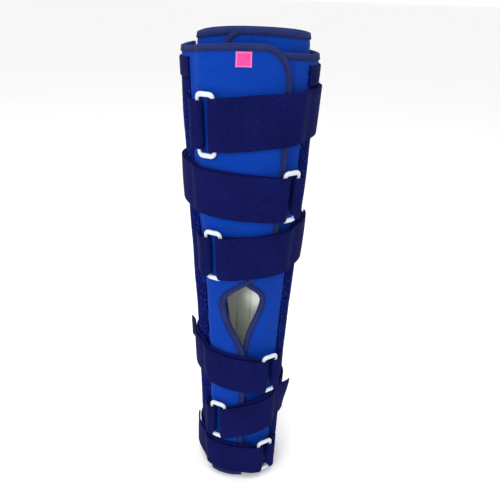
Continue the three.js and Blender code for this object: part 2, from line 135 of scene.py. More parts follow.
# Straps, tabs and loops
WEBBING_THICKNESS = 2.0 * MM
WEBBING_CROWN = 0.25 * MM
SELVEDGE = 2.6 * MM  # the woven line along each edge of the webbing
SELVEDGE_DEPTH = 0.12 * MM
WAVER = 0.35 * MM  # how far its edges wander
WAVER_SIZE = 70 * MM
CUP = 0.25 * MM  # how far its face waves
CUP_SIZE = 38 * MM
LAYER = 2.7 * MM
STRAP_CLEARANCE = 0.8 * MM
BAND_EASE = 0.6 * MM
TAPE_EASE = 1.5 * MM
LOOP_WIDTH = 24 * MM
LOOP_SIDE_BAR = 4.4 * MM
LOOP_END_BAR = 6 * MM
LOOP_PLAY = 1.6 * MM
FOLD_RADIUS = 3.2 * MM
FOLD_OVERHANG = 2.5 * MM
TAB_LENGTH = 20 * MM
TAB_NARROWING = 4 * MM
ANCHOR_ANGLE = 164
FREE_END = (0.72, 1)  # the last part of a strap's upper run, as shares of it
STRAPS = (
    # side of its loop, middle and width as shares of the height, the loop's angle, climb from the
    # front to the other side, and angle, lift and kick of the free end
    dict(side=-1, middle=0.8425, width=0.096, loop=30.5, climb=0.013, end=104, lift=0.002, kick=0),
    # tuck is how far the loop ends short below, slip how far the strap's under layer lies higher
    dict(
        side=1, middle=0.703, width=0.09, loop=37, climb=0.009, end=108, lift=0.002, kick=0,
        tuck=6 * MM, slip=2 * MM,
    ),
    dict(
        side=-1, middle=0.578, width=0.093, loop=27, climb=0.009, end=104, lift=0.003, kick=0,
        tuck=5 * MM,
    ),
    # curl is where along the upper run its end lifts, and trim how much narrower the lifted end is
    dict(
        side=1, middle=0.294, width=0.084, loop=33, climb=0.015, end=104, lift=0.0225, kick=0.014,
        tuck=6.5 * MM, slip=4.5 * MM, curl=(0.88, 1.04), trim=20 * MM,
    ),
    # lifted is between which places across the width the lift grows: -1 and 1 are the two edges
    dict(
        side=-1, middle=0.168, width=0.084, loop=26, climb=0.022, end=84, lift=0.0125, kick=-0.006,
        tuck=6.5 * MM, slip=4 * MM, lifted=(-1.2, 1.1),
    ),
    dict(
        side=1, middle=0.0565, width=0.0745, loop=34, climb=0.008, end=100, lift=0.003, kick=0,
        tuck=6.5 * MM, slip=4 * MM,
    ),
)
# Degrees from a loop's bar over which a layer of webbing comes to rest on what lies under it
LOWER_SETTLING = (13, 1)
UPPER_SETTLING = (2, 24)
SLIP_SETTLING = (3, 24)
TAB_SETTLING = (-2, -11)
FOLD_POINTS = 15
FOLD_EASED = 9  # the point of the fold from which squeezed webbing widens again
LOWER_EDGE_EASE = 9 * MM  # the length before the fold over which its lower edge is squeezed
TRIM_ONSET = 0.2  # the share of the lift by which a trimmed end has its narrow width

LOOP_SIZES = {
    "Width": 19.6 * MM,
    "Height": 62 * MM,
    "Corner": 5 * MM,
    "Bar width": 4.2 * MM,
    "Bar thickness": 3.1 * MM,
    "Bend radius": 80 * MM,
}
LOOP_ROUNDING = 1.35 * MM
LOOP_END_SHARE = 1.32  # how much thicker a loop's end bars are than its side bars
LOOP_END_REACH = 5 * MM  # over which they thicken

# Stitches
STITCH_PITCH = 3.4 * MM
STITCH_LENGTH = 2.5 * MM
STITCH_RADIUS = 0.35 * MM
STITCH_UNEVENNESS = (0.88, 1.08)
TAPE_STITCH_SIZES = (5.4 * MM, 3.5 * MM, 0.72 * MM)

# Bare label
LABEL_WIDTH = 15.2 * MM
LABEL_HEIGHT = 15.2 * MM
LABEL_THICKNESS = 0.7 * MM
LABEL_ANGLE = -3.8
LABEL_DROP = 6.6 * MM
LABEL_BORDER = 1.5 * MM
LABEL_CURL = 0.9 * MM  # how far its loose lower corners stand off

# Edges of the panels in degrees, at shares of the wrap's height
SIDE_EDGES = {
    "height": (
        0, 0.217, 0.3, 0.332, 0.363, 0.384, 0.405, 0.437, 0.467, 0.487, 0.5, 0.511, 0.525, 0.55,
        0.6, 0.68, 1,
    ),
    "left": (3, 4, 6, 5, 0, -5, -11, -18, -20.5, -16.5, -8, 0, 10, 21, 29, 33, 31),
    "right": (-6, -6, -5, 1.5, 4, 6.5, 10, 18.5, 23.5, 19, 9, 1, -8, -18, -27, -32, -33),
}
INNER_EDGES = {
    "height": (0, 0.17, 0.26, 0.33, 0.4, 0.465, 0.51, 0.55, 0.59, 0.635, 0.69, 0.76, 1),
    "left": (8, 5, -3, -15, -25, -31, -27, -19, -8, 2, 12, 20, 20),
    "right": (-8, -5, 3, 15, 25, 31, 27, 19, 8, -3, -15, -26, -27),
}
SIDE_BLUR = 0.009
INNER_BLUR = 0.012


def read(table, column, at, blur):
    """Reads a table between its rows, by its first column. The blur rounds off its corners."""
    places = next(iter(table.values()))
    steps = np.linspace(-1, 1, 9) * blur
    values = [np.interp(np.asarray(at) + step, places, table[column]) for step in steps]
    return sum(values) / len(values)


def smooth(value, start, end):
    """0 before start, 1 after end, and an even curve between them."""
    share = np.clip((np.asarray(value, float) - start) / (end - start), 0, 1)
    return share * share * (3 - 2 * share)


def mix(a, b, share):
    return a + (b - a) * share


def bell(value, width):
    """1 where value is 0, falling to nothing beyond a width or two."""
    return np.exp(-((value / width) ** 2))


def ripple(x, y, size, seed):
    """An even, repeatable unevenness between about -1 and 1, with waves of about the given size."""
    generator = np.random.default_rng(seed)
    total = 0.0
    for turn in generator.uniform(0, math.tau, 6):
        wave = (x * math.cos(turn) + y * math.sin(turn)) * math.tau / size
        total = total + np.sin(wave * generator.uniform(0.6, 1.6) + generator.uniform(0, math.tau))
    return total / 3.2


def sleeve_radius(height):
    return TOP_RADIUS * read(TAPER, "radius", np.asarray(height) / HEIGHT, SECTION_BLUR)


def section_radius(angle, height):
    """The sleeve's radius at an angle: its flanks are flat where the straps pull them."""
    swell = read(TAPER, "swell", np.asarray(height) / HEIGHT, SECTION_BLUR)
    return sleeve_radius(height) * (1 + swell * np.sin(2 * np.radians(angle)) ** 2)


def sleeve_axis():
    """Where the axis stands: between the side bands, and ahead of the right panel's back edge."""
    left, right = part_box("left_band"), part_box("right_band")
    turn = math.radians(BACK_ANGLE)
    radius = float(section_radius(BACK_ANGLE, RIGHT_HEIGHT))
    reach = radius * DEPTH_SHARE + PANEL_SPACING + PANEL_THICKNESS
    return (left[0].x + right[1].x) / 2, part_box("right_panel")[1].y + reach * math.cos(turn)


AXIS_X, AXIS_Y = sleeve_axis()


def on_sleeve(angle, height, offset):
    """Points on the sleeve, as an array whose last axis is x, y, z."""
    turn = np.radians(angle)
    beside, before = DENT_RADIUS * np.sin(turn), DENT_RADIUS * np.cos(turn)
    dents = ripple(beside, np.asarray(height) + before, DENT_SIZE, 3)
    radius = section_radius(angle, height) + DENT_DEPTH * dents
    lengthwise = mix(BACK_DIP, -FRONT_RISE, (1 + np.cos(turn)) / 2)
    drop = mix(lengthwise, np.where(np.sin(turn) < 0, *SIDE_DIPS), np.sin(turn) ** 2)
    height = height - drop * smooth(height, DIP_FOOT, HEIGHT) ** 1.5
    x = AXIS_X + (radius + offset) * np.sin(turn)
    y = AXIS_Y - (radius * DEPTH_SHARE + offset) * np.cos(turn)
    return np.stack(np.broadcast_arrays(x, y, height), axis=-1)


def outward(angle):
    turn = np.radians(angle)
    return np.stack(np.broadcast_arrays(np.sin(turn), -np.cos(turn), np.zeros_like(turn)), axis=-1)


def metres_per_degree(height):
    return np.radians(1) * (sleeve_radius(height) + PANEL_THICKNESS + PANEL_SPACING)


# Meshes


def new_object(name, data):
    """An object at the origin of the scene."""
    made = bpy.data.objects.new(name, data)
    bpy.context.scene.collection.objects.link(made)
    return made


def shade_smooth(mesh):
    mesh.polygons.foreach_set("use_smooth", [True] * len(mesh.polygons))


def new_mesh(name, points, faces, uv=None):
    """A mesh object. uv gives one place of the weave for each corner of each face."""
    mesh = bpy.data.meshes.new(name)
    mesh.from_pydata(points.tolist(), [], faces.tolist())
    mesh.validate()
    shade_smooth(mesh)
    if uv is not None:
        layer = mesh.uv_layers.new(name="weave")
        layer.data.foreach_set("uv", np.asarray(uv, np.float32).ravel())
    mesh.update()
    return new_object(name, mesh)


def enclosed(points, faces):
    """Six times the volume that the faces enclose."""
    a, b, c, d = (points[faces[:, i]] for i in range(4))
    first = np.einsum("ij,ij->i", a, np.cross(b, c))
    second = np.einsum("ij,ij->i", a, np.cross(c, d))
    return float(np.sum(first + second))


def closed_mesh(name, points, faces, weave):
    """A closed mesh of quads, turned outwards. weave holds one place for each point."""
    if enclosed(points - points.mean(0), faces) < 0:
        faces = faces[:, ::-1]
    return new_mesh(name, points, faces, weave[faces.ravel()])


def grid_faces(rows, columns, start=0):
    at = np.arange(rows * columns).reshape(rows, columns) + start
    quads = (at[:-1, :-1], at[:-1, 1:], at[1:, 1:], at[1:, :-1])
    return np.stack([q.ravel() for q in quads], axis=1)


def wall(name, inner, outer, weave):
    """A sheet with a wall: two grids of the same rows and columns, joined round the rim."""
    rows, columns = inner.shape[:2]
    size = rows * columns
    at = np.arange(size).reshape(rows, columns)
    rim = np.concatenate([at[0, :-1], at[:-1, -1], at[-1, :0:-1], at[:0:-1, 0]])
    after = np.roll(rim, -1)
    faces = np.concatenate([
        grid_faces(rows, columns, size),
        grid_faces(rows, columns)[:, ::-1],
        np.stack([rim, after, after + size, rim + size], axis=1),
    ])
    points = np.concatenate([inner.reshape(-1, 3), outer.reshape(-1, 3)])
    flat = weave.reshape(-1, 2)
    return closed_mesh(name, points, faces, np.concatenate([flat, flat]))


def swept(name, sections, weave, closed):
    """A band of equal closed sections, joined to a ring or closed at both ends."""
    count, size = sections.shape[:2]
    at = np.arange(count * size).reshape(count, size)
    ahead = np.roll(at, -1, axis=0) if closed else at[1:]
    here = at if closed else at[:-1]
    beside, diagonal = np.roll(here, -1, axis=1), np.roll(ahead, -1, axis=1)
    faces = np.stack([here.ravel(), beside.ravel(), diagonal.ravel(), ahead.ravel()], axis=1)
    if not closed:
        half = size // 2
        for ring in (at[0], at[-1][::-1]):
            pairs = [(ring[i], ring[i + 1], ring[-i - 2], ring[-i - 1]) for i in range(half - 1)]
            faces = np.concatenate([faces, np.array(pairs)[:, ::-1]])
    return closed_mesh(name, sections.reshape(-1, 3), faces, weave.reshape(-1, 2))


def dress(piece, material, slot, *nodes):
    """Gives a piece its material, hides the solids that it stands for, and fixes it to the part."""
    piece.data.materials.clear()
    piece.data.materials.append(material)
    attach(piece, "root")
    if nodes:
        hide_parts(*nodes)
    return piece


# Panels


class Panel:
    """One wrapped panel: its edges in degrees at a height, and the offset of its inner face."""

    def __init__(self, name, top, first, last, pulled, offset):
        self.name, self.top, self.edges = name, top, (first, last)
        self.pulled, self.offset = pulled, offset

    def edge(self, end, height):
        pull = 0.0
        if self.pulled == end:
            share = np.clip((height - self.top + CORNER_HEIGHT) / CORNER_HEIGHT, 0, 1)
            pull = CORNER_ANGLE * (1 - np.sqrt(1 - share * share)) * (1 if end == 0 else -1)
        return self.edges[end](np.asarray(height, float)) + pull


def side_edge(column):
    return lambda height: read(SIDE_EDGES, column, height / HEIGHT, SIDE_BLUR)


def inner_edge(column, turns=0):
    return lambda height: turns + read(INNER_EDGES, column, height / HEIGHT, INNER_BLUR)


def constant_edge(angle):
    return lambda height: angle + 0 * height


def left_offset(angle, height):
    return PANEL_SPACING + (PANEL_THICKNESS + PANEL_SPACING) * smooth(angle, *FRONT_OVERLAP)


def right_offset(angle, height):
    return PANEL_SPACING + 0 * angle


def inner_offset(angle, height):
    sink = (PANEL_THICKNESS + PANEL_SPACING) * smooth(angle, *INNER_OVERLAP)
    sideways = np.sin(np.radians(angle))
    lean = np.where(sideways < 0, *MOUTH_LEANS) * sideways**2
    return -PANEL_THICKNESS - sink - lean * smooth(height, MOUTH_FOOT, HEIGHT)


PANELS = {
    "inner_wrap": Panel(
        "inner_wrap", HEIGHT - REST_HEIGHT, inner_edge("right"), inner_edge("left", 360), 0,
        inner_offset,
    ),
    "left_panel": Panel(
        "left_panel", LEFT_HEIGHT, constant_edge(-BACK_ANGLE), side_edge("left"), 1, left_offset
    ),
    "right_panel": Panel(
        "right_panel", RIGHT_HEIGHT, side_edge("right"), constant_edge(BACK_ANGLE), 0, right_offset
    ),
}
BINDINGS = {
    "inner_wrap": "inner_binding",
    "left_panel": "left_binding",
    "right_panel": "right_binding",
}


def strap_rise(strap, angle):
    """How far a strap has climbed at an angle round the leg, counted away from its loop."""
    return strap["climb"] * HEIGHT * np.sin(np.radians(-strap["side"] * angle))


def strap_press(angle, height):
    """How the straps draw the padding in: below 0 under a strap, above 0 beside it."""
    total = 0.0
    for strap in STRAPS:
        middle = strap["middle"] * HEIGHT + strap_rise(strap, angle)
        beyond = np.abs(height - middle) - strap["width"] * HEIGHT / 2
        under = 1 - smooth(beyond, -6 * MM, 2 * MM)
        beside = bell(beyond - 9 * MM, PRESS_SPREAD)
        total = total + 0.5 * beside - 0.5 * under
    return total


def panel_rows(panel, step):
    foot = panel.top - CORNER_HEIGHT
    straight = np.linspace(REST_HEIGHT, foot, int((foot - REST_HEIGHT) / step))
    turn = np.linspace(0, math.pi / 2, 22)[1:]
    return np.concatenate([straight, foot + CORNER_HEIGHT * np.sin(turn)])


def build_panel(panel, puff, wrinkle, step, material, slot):
    """A padded panel: its foam swells between the bound edges and gives way under the straps."""
    heights = panel_rows(panel, step)
    first, last = panel.edge(0, heights), panel.edge(1, heights)
    columns = int(np.max(last - first) * float(metres_per_degree(HEIGHT / 2)) / step)
    share = np.linspace(0, 1, columns)
    angle = first[:, None] + (last - first)[:, None] * share[None, :]
    height = np.repeat(heights[:, None], columns, axis=1)
    per_degree = metres_per_degree(height)
    across = np.minimum(angle - first[:, None], last[:, None] - angle) * per_degree
    inside = np.minimum(across, np.minimum(height - REST_HEIGHT, panel.top - height))
    swell = puff * smooth(inside, TAPE_WIDTH - 2 * MM, TAPE_WIDTH + 5 * MM)
    gather = GATHER * bell(inside - GATHER_PLACE, 4 * MM)
    gather = gather * ripple(angle * per_degree, height, GATHER_SIZE, 3)
    free = smooth(inside, TAPE_WIDTH, TAPE_WIDTH + 14 * MM)
    uneven = wrinkle * ripple(angle * per_degree * 0.6, height * 1.6, WRINKLE_SIZE, len(panel.name))
    pressed = PRESS * strap_press(angle, height) * free
    base = panel.offset(angle, height)
    relief = swell + gather + uneven * free + pressed
    inner = on_sleeve(angle, height, base + 0.3 * uneven * free)
    outer = on_sleeve(angle, height, base + PANEL_THICKNESS + relief)
    weave = np.stack([angle * per_degree, height], axis=-1)
    piece = wall(panel.name + "_cloth", inner, outer, weave)
    dress(piece, material, slot, panel.name)
    return piece


# Bound edges


def rim_places(panel, step):
    """Places round the edge of a panel: angle and height. Its square corners stand alone."""
    foot = panel.top - CORNER_HEIGHT
    gap = TAPE_WIDTH + 1.5 * MM
    low, high = REST_HEIGHT, panel.top

    def level(height, backwards):
        ends = panel.edge(0, height), panel.edge(1, height)
        margin = gap / float(metres_per_degree(height))
        from_gap = margin if panel.pulled != 0 or height == low else 0
        to_gap = margin if panel.pulled != 1 or height == low else 0
        count = int((ends[1] - ends[0]) * float(metres_per_degree(height)) / step)
        angles = np.linspace(ends[0] + from_gap, ends[1] - to_gap, count)
        if from_gap:
            angles = np.concatenate([[ends[0]], angles])
        if to_gap:
            angles = np.concatenate([angles, [ends[1]]])
        places = np.stack([angles, np.full_like(angles, height)], axis=1)
        return places[::-1] if backwards else places

    def upright(end, downwards):
        top = foot if panel.pulled == end else high - gap
        heights = np.linspace(low + gap, top, int((top - low) / step))
        if panel.pulled == end:
            turn = np.linspace(0, math.pi / 2, 18)[1:-1]
            heights = np.concatenate([heights, foot + CORNER_HEIGHT * np.sin(turn)])
        places = np.stack([panel.edge(end, heights), heights], axis=1)
        return places[::-1] if downwards else places

    sides = level(low, False), upright(1, False), level(high, True), upright(0, True)
    return np.concatenate(sides)


def rim_frame(places):
    """The inward direction in the cloth and the mitre at each place of a rim."""
    per_degree = metres_per_degree(places[:, 1])
    before, after = np.roll(places, 1, axis=0), np.roll(places, -1, axis=0)

    def direction(start, end):
        along = np.stack([(end[:, 0] - start[:, 0]) * per_degree, end[:, 1] - start[:, 1]], axis=1)
        return along / np.linalg.norm(along, axis=1)[:, None]

    arriving, leaving = direction(before, places), direction(places, after)
    inward = np.stack([-arriving[:, 1] - leaving[:, 1], arriving[:, 0] + leaving[:, 0]], axis=1)
    inward = inward / np.linalg.norm(inward, axis=1)[:, None]
    facing = -leaving[:, 1] * inward[:, 0] + leaving[:, 0] * inward[:, 1]
    return inward / np.maximum(0.55, facing)[:, None], per_degree


def off_rim(panel, places, frame_of_rim, depth, offset):
    """Points at a depth in from the rim and an offset from the panel's inner face."""
    inward, per_degree = frame_of_rim
    angle = places[:, 0] + inward[:, 0] * depth / per_degree
    height = places[:, 1] + inward[:, 1] * depth
    return on_sleeve(angle, height, panel.offset(angle, height) + offset), angle


def tape_section():
    """The folded tape's section: depth in from the rim, and offset from the panel's inner face."""
    outer, inner = PANEL_THICKNESS + TAPE_RISE, -TAPE_RISE
    outer_leg = [
        (TAPE_WIDTH, outer - 0.7 * MM), (TAPE_WIDTH, outer - 0.3 * MM),
        (TAPE_WIDTH - 0.5 * MM, outer),
        ((TAPE_GROOVE + 0.1) * TAPE_WIDTH, outer), (TAPE_GROOVE * TAPE_WIDTH, outer - 0.32 * MM),
        ((TAPE_GROOVE - 0.1) * TAPE_WIDTH, outer),
        (0.4 * TAPE_WIDTH, outer + 0.12 * MM), (0.12 * TAPE_WIDTH, outer),
    ]
    middle, half = (outer + inner) / 2, (outer - inner) / 2
    turns = [math.radians(turn) for turn in (60, 30, 0, -30, -60)]
    fold = [
        (0.1 * MM - 1.5 * MM * math.cos(turn) ** 0.7, middle + half * math.sin(turn))
        for turn in turns
    ]
    inner_leg = [
        (0.12 * TAPE_WIDTH, inner), ((TAPE_GROOVE - 0.1) * TAPE_WIDTH, inner),
        (TAPE_GROOVE * TAPE_WIDTH, inner + 0.3 * MM), ((TAPE_GROOVE + 0.1) * TAPE_WIDTH, inner),
        (TAPE_WIDTH - 0.4 * MM, inner), (TAPE_WIDTH, inner + 0.5 * MM),
    ]
    lap = 1 * MM
    inside = [
        (TAPE_WIDTH - lap, -TAPE_CLEARANCE), (0, -TAPE_CLEARANCE),
        (0, PANEL_THICKNESS + TAPE_CLEARANCE), (TAPE_WIDTH - lap, PANEL_THICKNESS + TAPE_CLEARANCE),
    ]
    return outer_leg + fold + inner_leg + inside


def build_binding(panel, material):
    """Tape folded round the edge of a panel, drawn in along its row of stitches."""
    places = rim_places(panel, 2.4 * MM)
    frame_of_rim = rim_frame(places)
    section = tape_section()
    ring = []
    for depth, offset in section:
        ring.append(off_rim(panel, places, frame_of_rim, depth, offset)[0])
    sections = np.stack(ring, axis=1)
    steps = np.linalg.norm(np.diff(sections[:, 0], axis=0), axis=1)
    along = np.concatenate([[0], np.cumsum(steps)])
    outline = np.array(section)
    around = np.concatenate([[0], np.cumsum(np.linalg.norm(np.diff(outline, axis=0), axis=1))])
    weave = np.stack(np.broadcast_arrays(along[:, None], around[None, :]), axis=-1)
    piece = swept(BINDINGS[panel.name] + "_tape", sections, weave, True)
    return dress(piece, material, "binding_tape", BINDINGS[panel.name])


# Stitches, made by Geometry Nodes along a line whose points know which way they face


def node(tree, kind, inputs=None, **settings):
    """A new node. Each input is a value, or an output of another node that is linked to it."""
    made = tree.nodes.new(kind)
    for name, value in settings.items():
        setattr(made, name, value)
    for name, value in (inputs or {}).items():
        if isinstance(value, bpy.types.NodeSocket):
            tree.links.new(value, made.inputs[name])
        else:
            made.inputs[name].default_value = value
    return made


def calculate(tree, operation, first, second=0.0):
    """The result of a sum on two values or outputs."""
    return node(tree, "ShaderNodeMath", {0: first, 1: second}, operation=operation).outputs[0]


def new_tree(name, lengths, material):
    """A tree that takes a mesh, lengths and a material, and the sockets that give them."""
    tree = bpy.data.node_groups.new(name, "GeometryNodeTree")
    tree.is_modifier = True
    tree.interface.new_socket("Geometry", in_out="INPUT", socket_type="NodeSocketGeometry")
    for label, value in lengths.items():
        length = tree.interface.new_socket(label, in_out="INPUT", socket_type="NodeSocketFloat")
        length.subtype, length.default_value = "DISTANCE", value
    tree.interface.new_socket(material, in_out="INPUT", socket_type="NodeSocketMaterial")
    tree.interface.new_socket("Geometry", in_out="OUTPUT", socket_type="NodeSocketGeometry")
    return tree, node(tree, "NodeGroupInput").outputs


def end_tree(tree, shape, material):
    """Makes the shape a mesh of its own with the given material, and ends the tree."""
    solid = node(tree, "GeometryNodeRealizeInstances", {"Geometry": shape}).outputs["Geometry"]
    coloured = node(tree, "GeometryNodeSetMaterial", {"Geometry": solid, "Material": material})
    node(tree, "NodeGroupOutput", {"Geometry": coloured.outputs["Geometry"]})
    return tree


def stitch_tree():
    """Lays a slim thread at an even pitch along a line, a little uneven as sewing is."""
    lengths = {"Pitch": STITCH_PITCH, "Length": STITCH_LENGTH, "Thread radius": STITCH_RADIUS}
    tree, given = new_tree("Row of stitches", lengths, "Thread")
    line = node(tree, "GeometryNodeMeshToCurve", {"Mesh": given["Geometry"]}).outputs["Curve"]
    spaced = {"Curve": line, "Length": given["Pitch"]}
    even = node(tree, "GeometryNodeResampleCurve", spaced, mode="LENGTH")
    thread = node(tree, "GeometryNodeMeshUVSphere", {"Segments": 6, "Rings": 4, "Radius": 1.0})
    facing = node(
        tree, "GeometryNodeInputNamedAttribute", {"Name": "facing"}, data_type="FLOAT_VECTOR"
    )
    tangent = node(tree, "GeometryNodeInputTangent").outputs["Tangent"]
    lengthwise = node(tree, "FunctionNodeAlignRotationToVector", {"Vector": tangent}, axis="X")
    upwards = node(
        tree, "FunctionNodeAlignRotationToVector",
        {"Rotation": lengthwise.outputs["Rotation"], "Vector": facing.outputs["Attribute"]},
        axis="Z", pivot_axis="X",
    )
    half = calculate(tree, "MULTIPLY", given["Length"], 0.5)
    radius = given["Thread radius"]
    size = node(tree, "ShaderNodeCombineXYZ", {"X": half, "Y": radius, "Z": radius})
    shortest, longest = STITCH_UNEVENNESS
    uneven = node(
        tree, "FunctionNodeRandomValue", {2: shortest, 3: longest, "Seed": 7}, data_type="FLOAT"
    )
    scaled = {0: size.outputs["Vector"], "Scale": uneven.outputs[1]}
    scale = node(tree, "ShaderNodeVectorMath", scaled, operation="SCALE")
    lay = node(tree, "GeometryNodeInstanceOnPoints", {
        "Points": even.outputs["Curve"],
        "Instance": thread.outputs["Mesh"],
        "Rotation": upwards.outputs["Rotation"],
        "Scale": scale.outputs["Vector"],
    })
    return end_tree(tree, lay.outputs["Instances"], given["Thread"])


def run_nodes(piece, tree, **values):
    """Puts a tree on a piece, sets its named inputs and keeps the result as a plain mesh."""
    modifier = piece.modifiers.new(tree.name, "NODES")
    modifier.node_group = tree
    for item in tree.interface.items_tree:
        if item.in_out == "INPUT" and item.name in values:
            modifier[item.identifier] = values[item.name]
    graph = bpy.context.evaluated_depsgraph_get()
    made = bpy.data.meshes.new_from_object(piece.evaluated_get(graph))
    piece.modifiers.clear()
    piece.data = made
    shade_smooth(made)
    return piece


def stitch_row(name, lines, thread, slot, pitch, length, radius=STITCH_RADIUS):
    """Stitches along lines. Each line is its points and the directions that they face."""
    points = np.concatenate([line[0] for line in lines])
    facing = np.concatenate([line[1] for line in lines])
    edges, start = [], 0
    for line in lines:
        edges += [(start + i, start + i + 1) for i in range(len(line[0]) - 1)]
        start += len(line[0])
    mesh = bpy.data.meshes.new(name)
    mesh.from_pydata(points.tolist(), edges, [])
    attribute = mesh.attributes.new("facing", "FLOAT_VECTOR", "POINT")
    attribute.data.foreach_set("vector", np.asarray(facing, np.float32).ravel())
    piece = new_object(name, mesh)
    tree = bpy.data.node_groups.get("Row of stitches") or stitch_tree()
    sizes = {"Pitch": pitch, "Length": length, "Thread radius": radius}
    return dress(run_nodes(piece, tree, Thread=thread, **sizes), thread, slot)


def binding_stitches(panel, thread):
    """One row of stitches along a bound edge, seen on both faces of the panel."""
    places = rim_places(panel, 2.4 * MM)
    places = np.concatenate([places, places[:1]])
    frame_of_rim = rim_frame(places[:-1])
    frame_of_rim = tuple(np.concatenate([part, part[:1]]) for part in frame_of_rim)
    depth = TAPE_GROOVE * TAPE_WIDTH
    lines = []
    for offset, sign in ((PANEL_THICKNESS + TAPE_RISE, 1), (-TAPE_RISE, -1)):
        points, angle = off_rim(panel, places, frame_of_rim, depth, offset)
        lines.append((points, sign * outward(angle)))
    name = BINDINGS[panel.name] + "_stitches"
    return stitch_row(name, lines, thread, "binding_tape", *TAPE_STITCH_SIZES)


# Pile bands, patches, lining and label

# Offsets of the side panels' faces, and of straps over the bands, the front and the back
SIDE_FACE = PANEL_SPACING + PANEL_THICKNESS
OVER_SIDE = SIDE_FACE + BAND_EASE + BAND_THICKNESS + STRAP_CLEARANCE
OVER_FRONT = 2 * SIDE_FACE + TAPE_EASE + STRAP_CLEARANCE
OVER_BACK = TAPE_EASE + STRAP_CLEARANCE


def strip(name, angles, heights, offset, thickness, relief, material, slot, *nodes):
    """A flat strip with a round rim. relief(angle, height, inside) shapes its outer face."""
    angle, height = np.broadcast_arrays(angles, heights[:, None])
    per_degree = metres_per_degree(height)
    across = np.minimum(angle - angle[:, :1], angle[:, -1:] - angle) * per_degree
    inside = np.minimum(across, np.minimum(height - heights[0], heights[-1] - height))
    share = np.clip(inside / thickness, 0, 1)
    rounded = thickness * mix(RIM_SHARE, 1, np.sqrt(share * (2 - share)))
    base = np.broadcast_to(offset, angle.shape)
    inner = on_sleeve(angle, height, base)
    outer = on_sleeve(angle, height, base + rounded + relief(angle, height, inside))
    weave = np.stack([angle * per_degree, height], axis=-1)
    return dress(wall(name, inner, outer, weave), material, slot, *nodes)


def pile_relief(angle, height, inside):
    """Pile stands up in uneven tufts, and is sewn down along its rim."""
    across = angle * metres_per_degree(height)
    fine, coarse = TUFT_SIZES
    tufts = ripple(across, height, fine, 21) + 0.7 * ripple(across, height, coarse, 22)
    standing = TUFT_HEIGHT * tufts * smooth(inside, 0, 1.5 * MM)
    return standing - BAND_SEAM_DEPTH * bell(inside - BAND_SEAM, 1 * MM)


def patch_relief(angle, height, inside):
    return -PATCH_SEAM_DEPTH * bell(inside - PATCH_SEAM, 0.7 * MM)


def band_heights(top, step):
    low, high = BAND_FOOT + BAND_MARGIN, top - BAND_MARGIN
    return np.linspace(low, high, int((high - low) / step))


def frame_of_strip(angles, heights, margin, offset):
    """Lines that run round a strip inside its rim, for a row of stitches."""
    def side(angle, height):
        turn = np.broadcast_to(angle, np.shape(height) or np.shape(angle)).astype(float)
        return on_sleeve(turn, np.broadcast_to(height, turn.shape), offset), outward(turn)

    middle = float(metres_per_degree(np.mean(heights)))
    away = margin / middle
    levels = np.linspace(heights[0] + margin, heights[-1] - margin, 160)
    edges = np.broadcast_to(angles, (len(heights), np.shape(angles)[-1]))
    first = np.interp(levels, heights, edges[:, 0]) + away
    last = np.interp(levels, heights, edges[:, -1]) - away
    return [
        side(first, levels), side(last, levels),
        side(np.linspace(first[0], last[0], 30), levels[0]),
        side(np.linspace(first[-1], last[-1], 30), levels[-1]),
    ]


def build_bands(pile, webbing, thread):
    """A pile band down each side, and the patch that closes its upper end."""
    for name, side, top in (("left", -1, LEFT_HEIGHT), ("right", 1, RIGHT_HEIGHT)):
        face = SIDE_FACE + BAND_CLEARANCE
        heights = band_heights(top, 1.6 * MM)
        widening = LEFT_BAND_WIDENING * smooth(heights, *BAND_WIDENS) * (side < 0)
        angles = np.sort(side * np.linspace(BAND_FRONT - widening, BAND_BACK, 56, axis=1), axis=1)
        strip(
            name + "_pile", angles, heights, face, BAND_THICKNESS, pile_relief, pile, "pile_band",
            name + "_band",
        )
        rows = frame_of_strip(angles, heights, BAND_SEAM, face + 0.72 * BAND_THICKNESS)
        stitch_row(name + "_pile_stitches", rows, thread, "pile_band", 3 * MM, 2.3 * MM)
        face = face + BAND_THICKNESS + PATCH_CLEARANCE
        heights = np.linspace(top - BAND_MARGIN - PATCH_HEIGHT, top - BAND_MARGIN, 34)
        strip(
            name + "_end_patch", angles[-1], heights, face, PATCH_THICKNESS, patch_relief, webbing,
            "webbing", name + "_patch",
        )
        rows = frame_of_strip(angles[-1], heights, PATCH_SEAM, face + 0.8 * PATCH_THICKNESS)
        stitch_row(name + "_patch_stitches", rows, thread, "webbing", 2.8 * MM, 2.1 * MM)


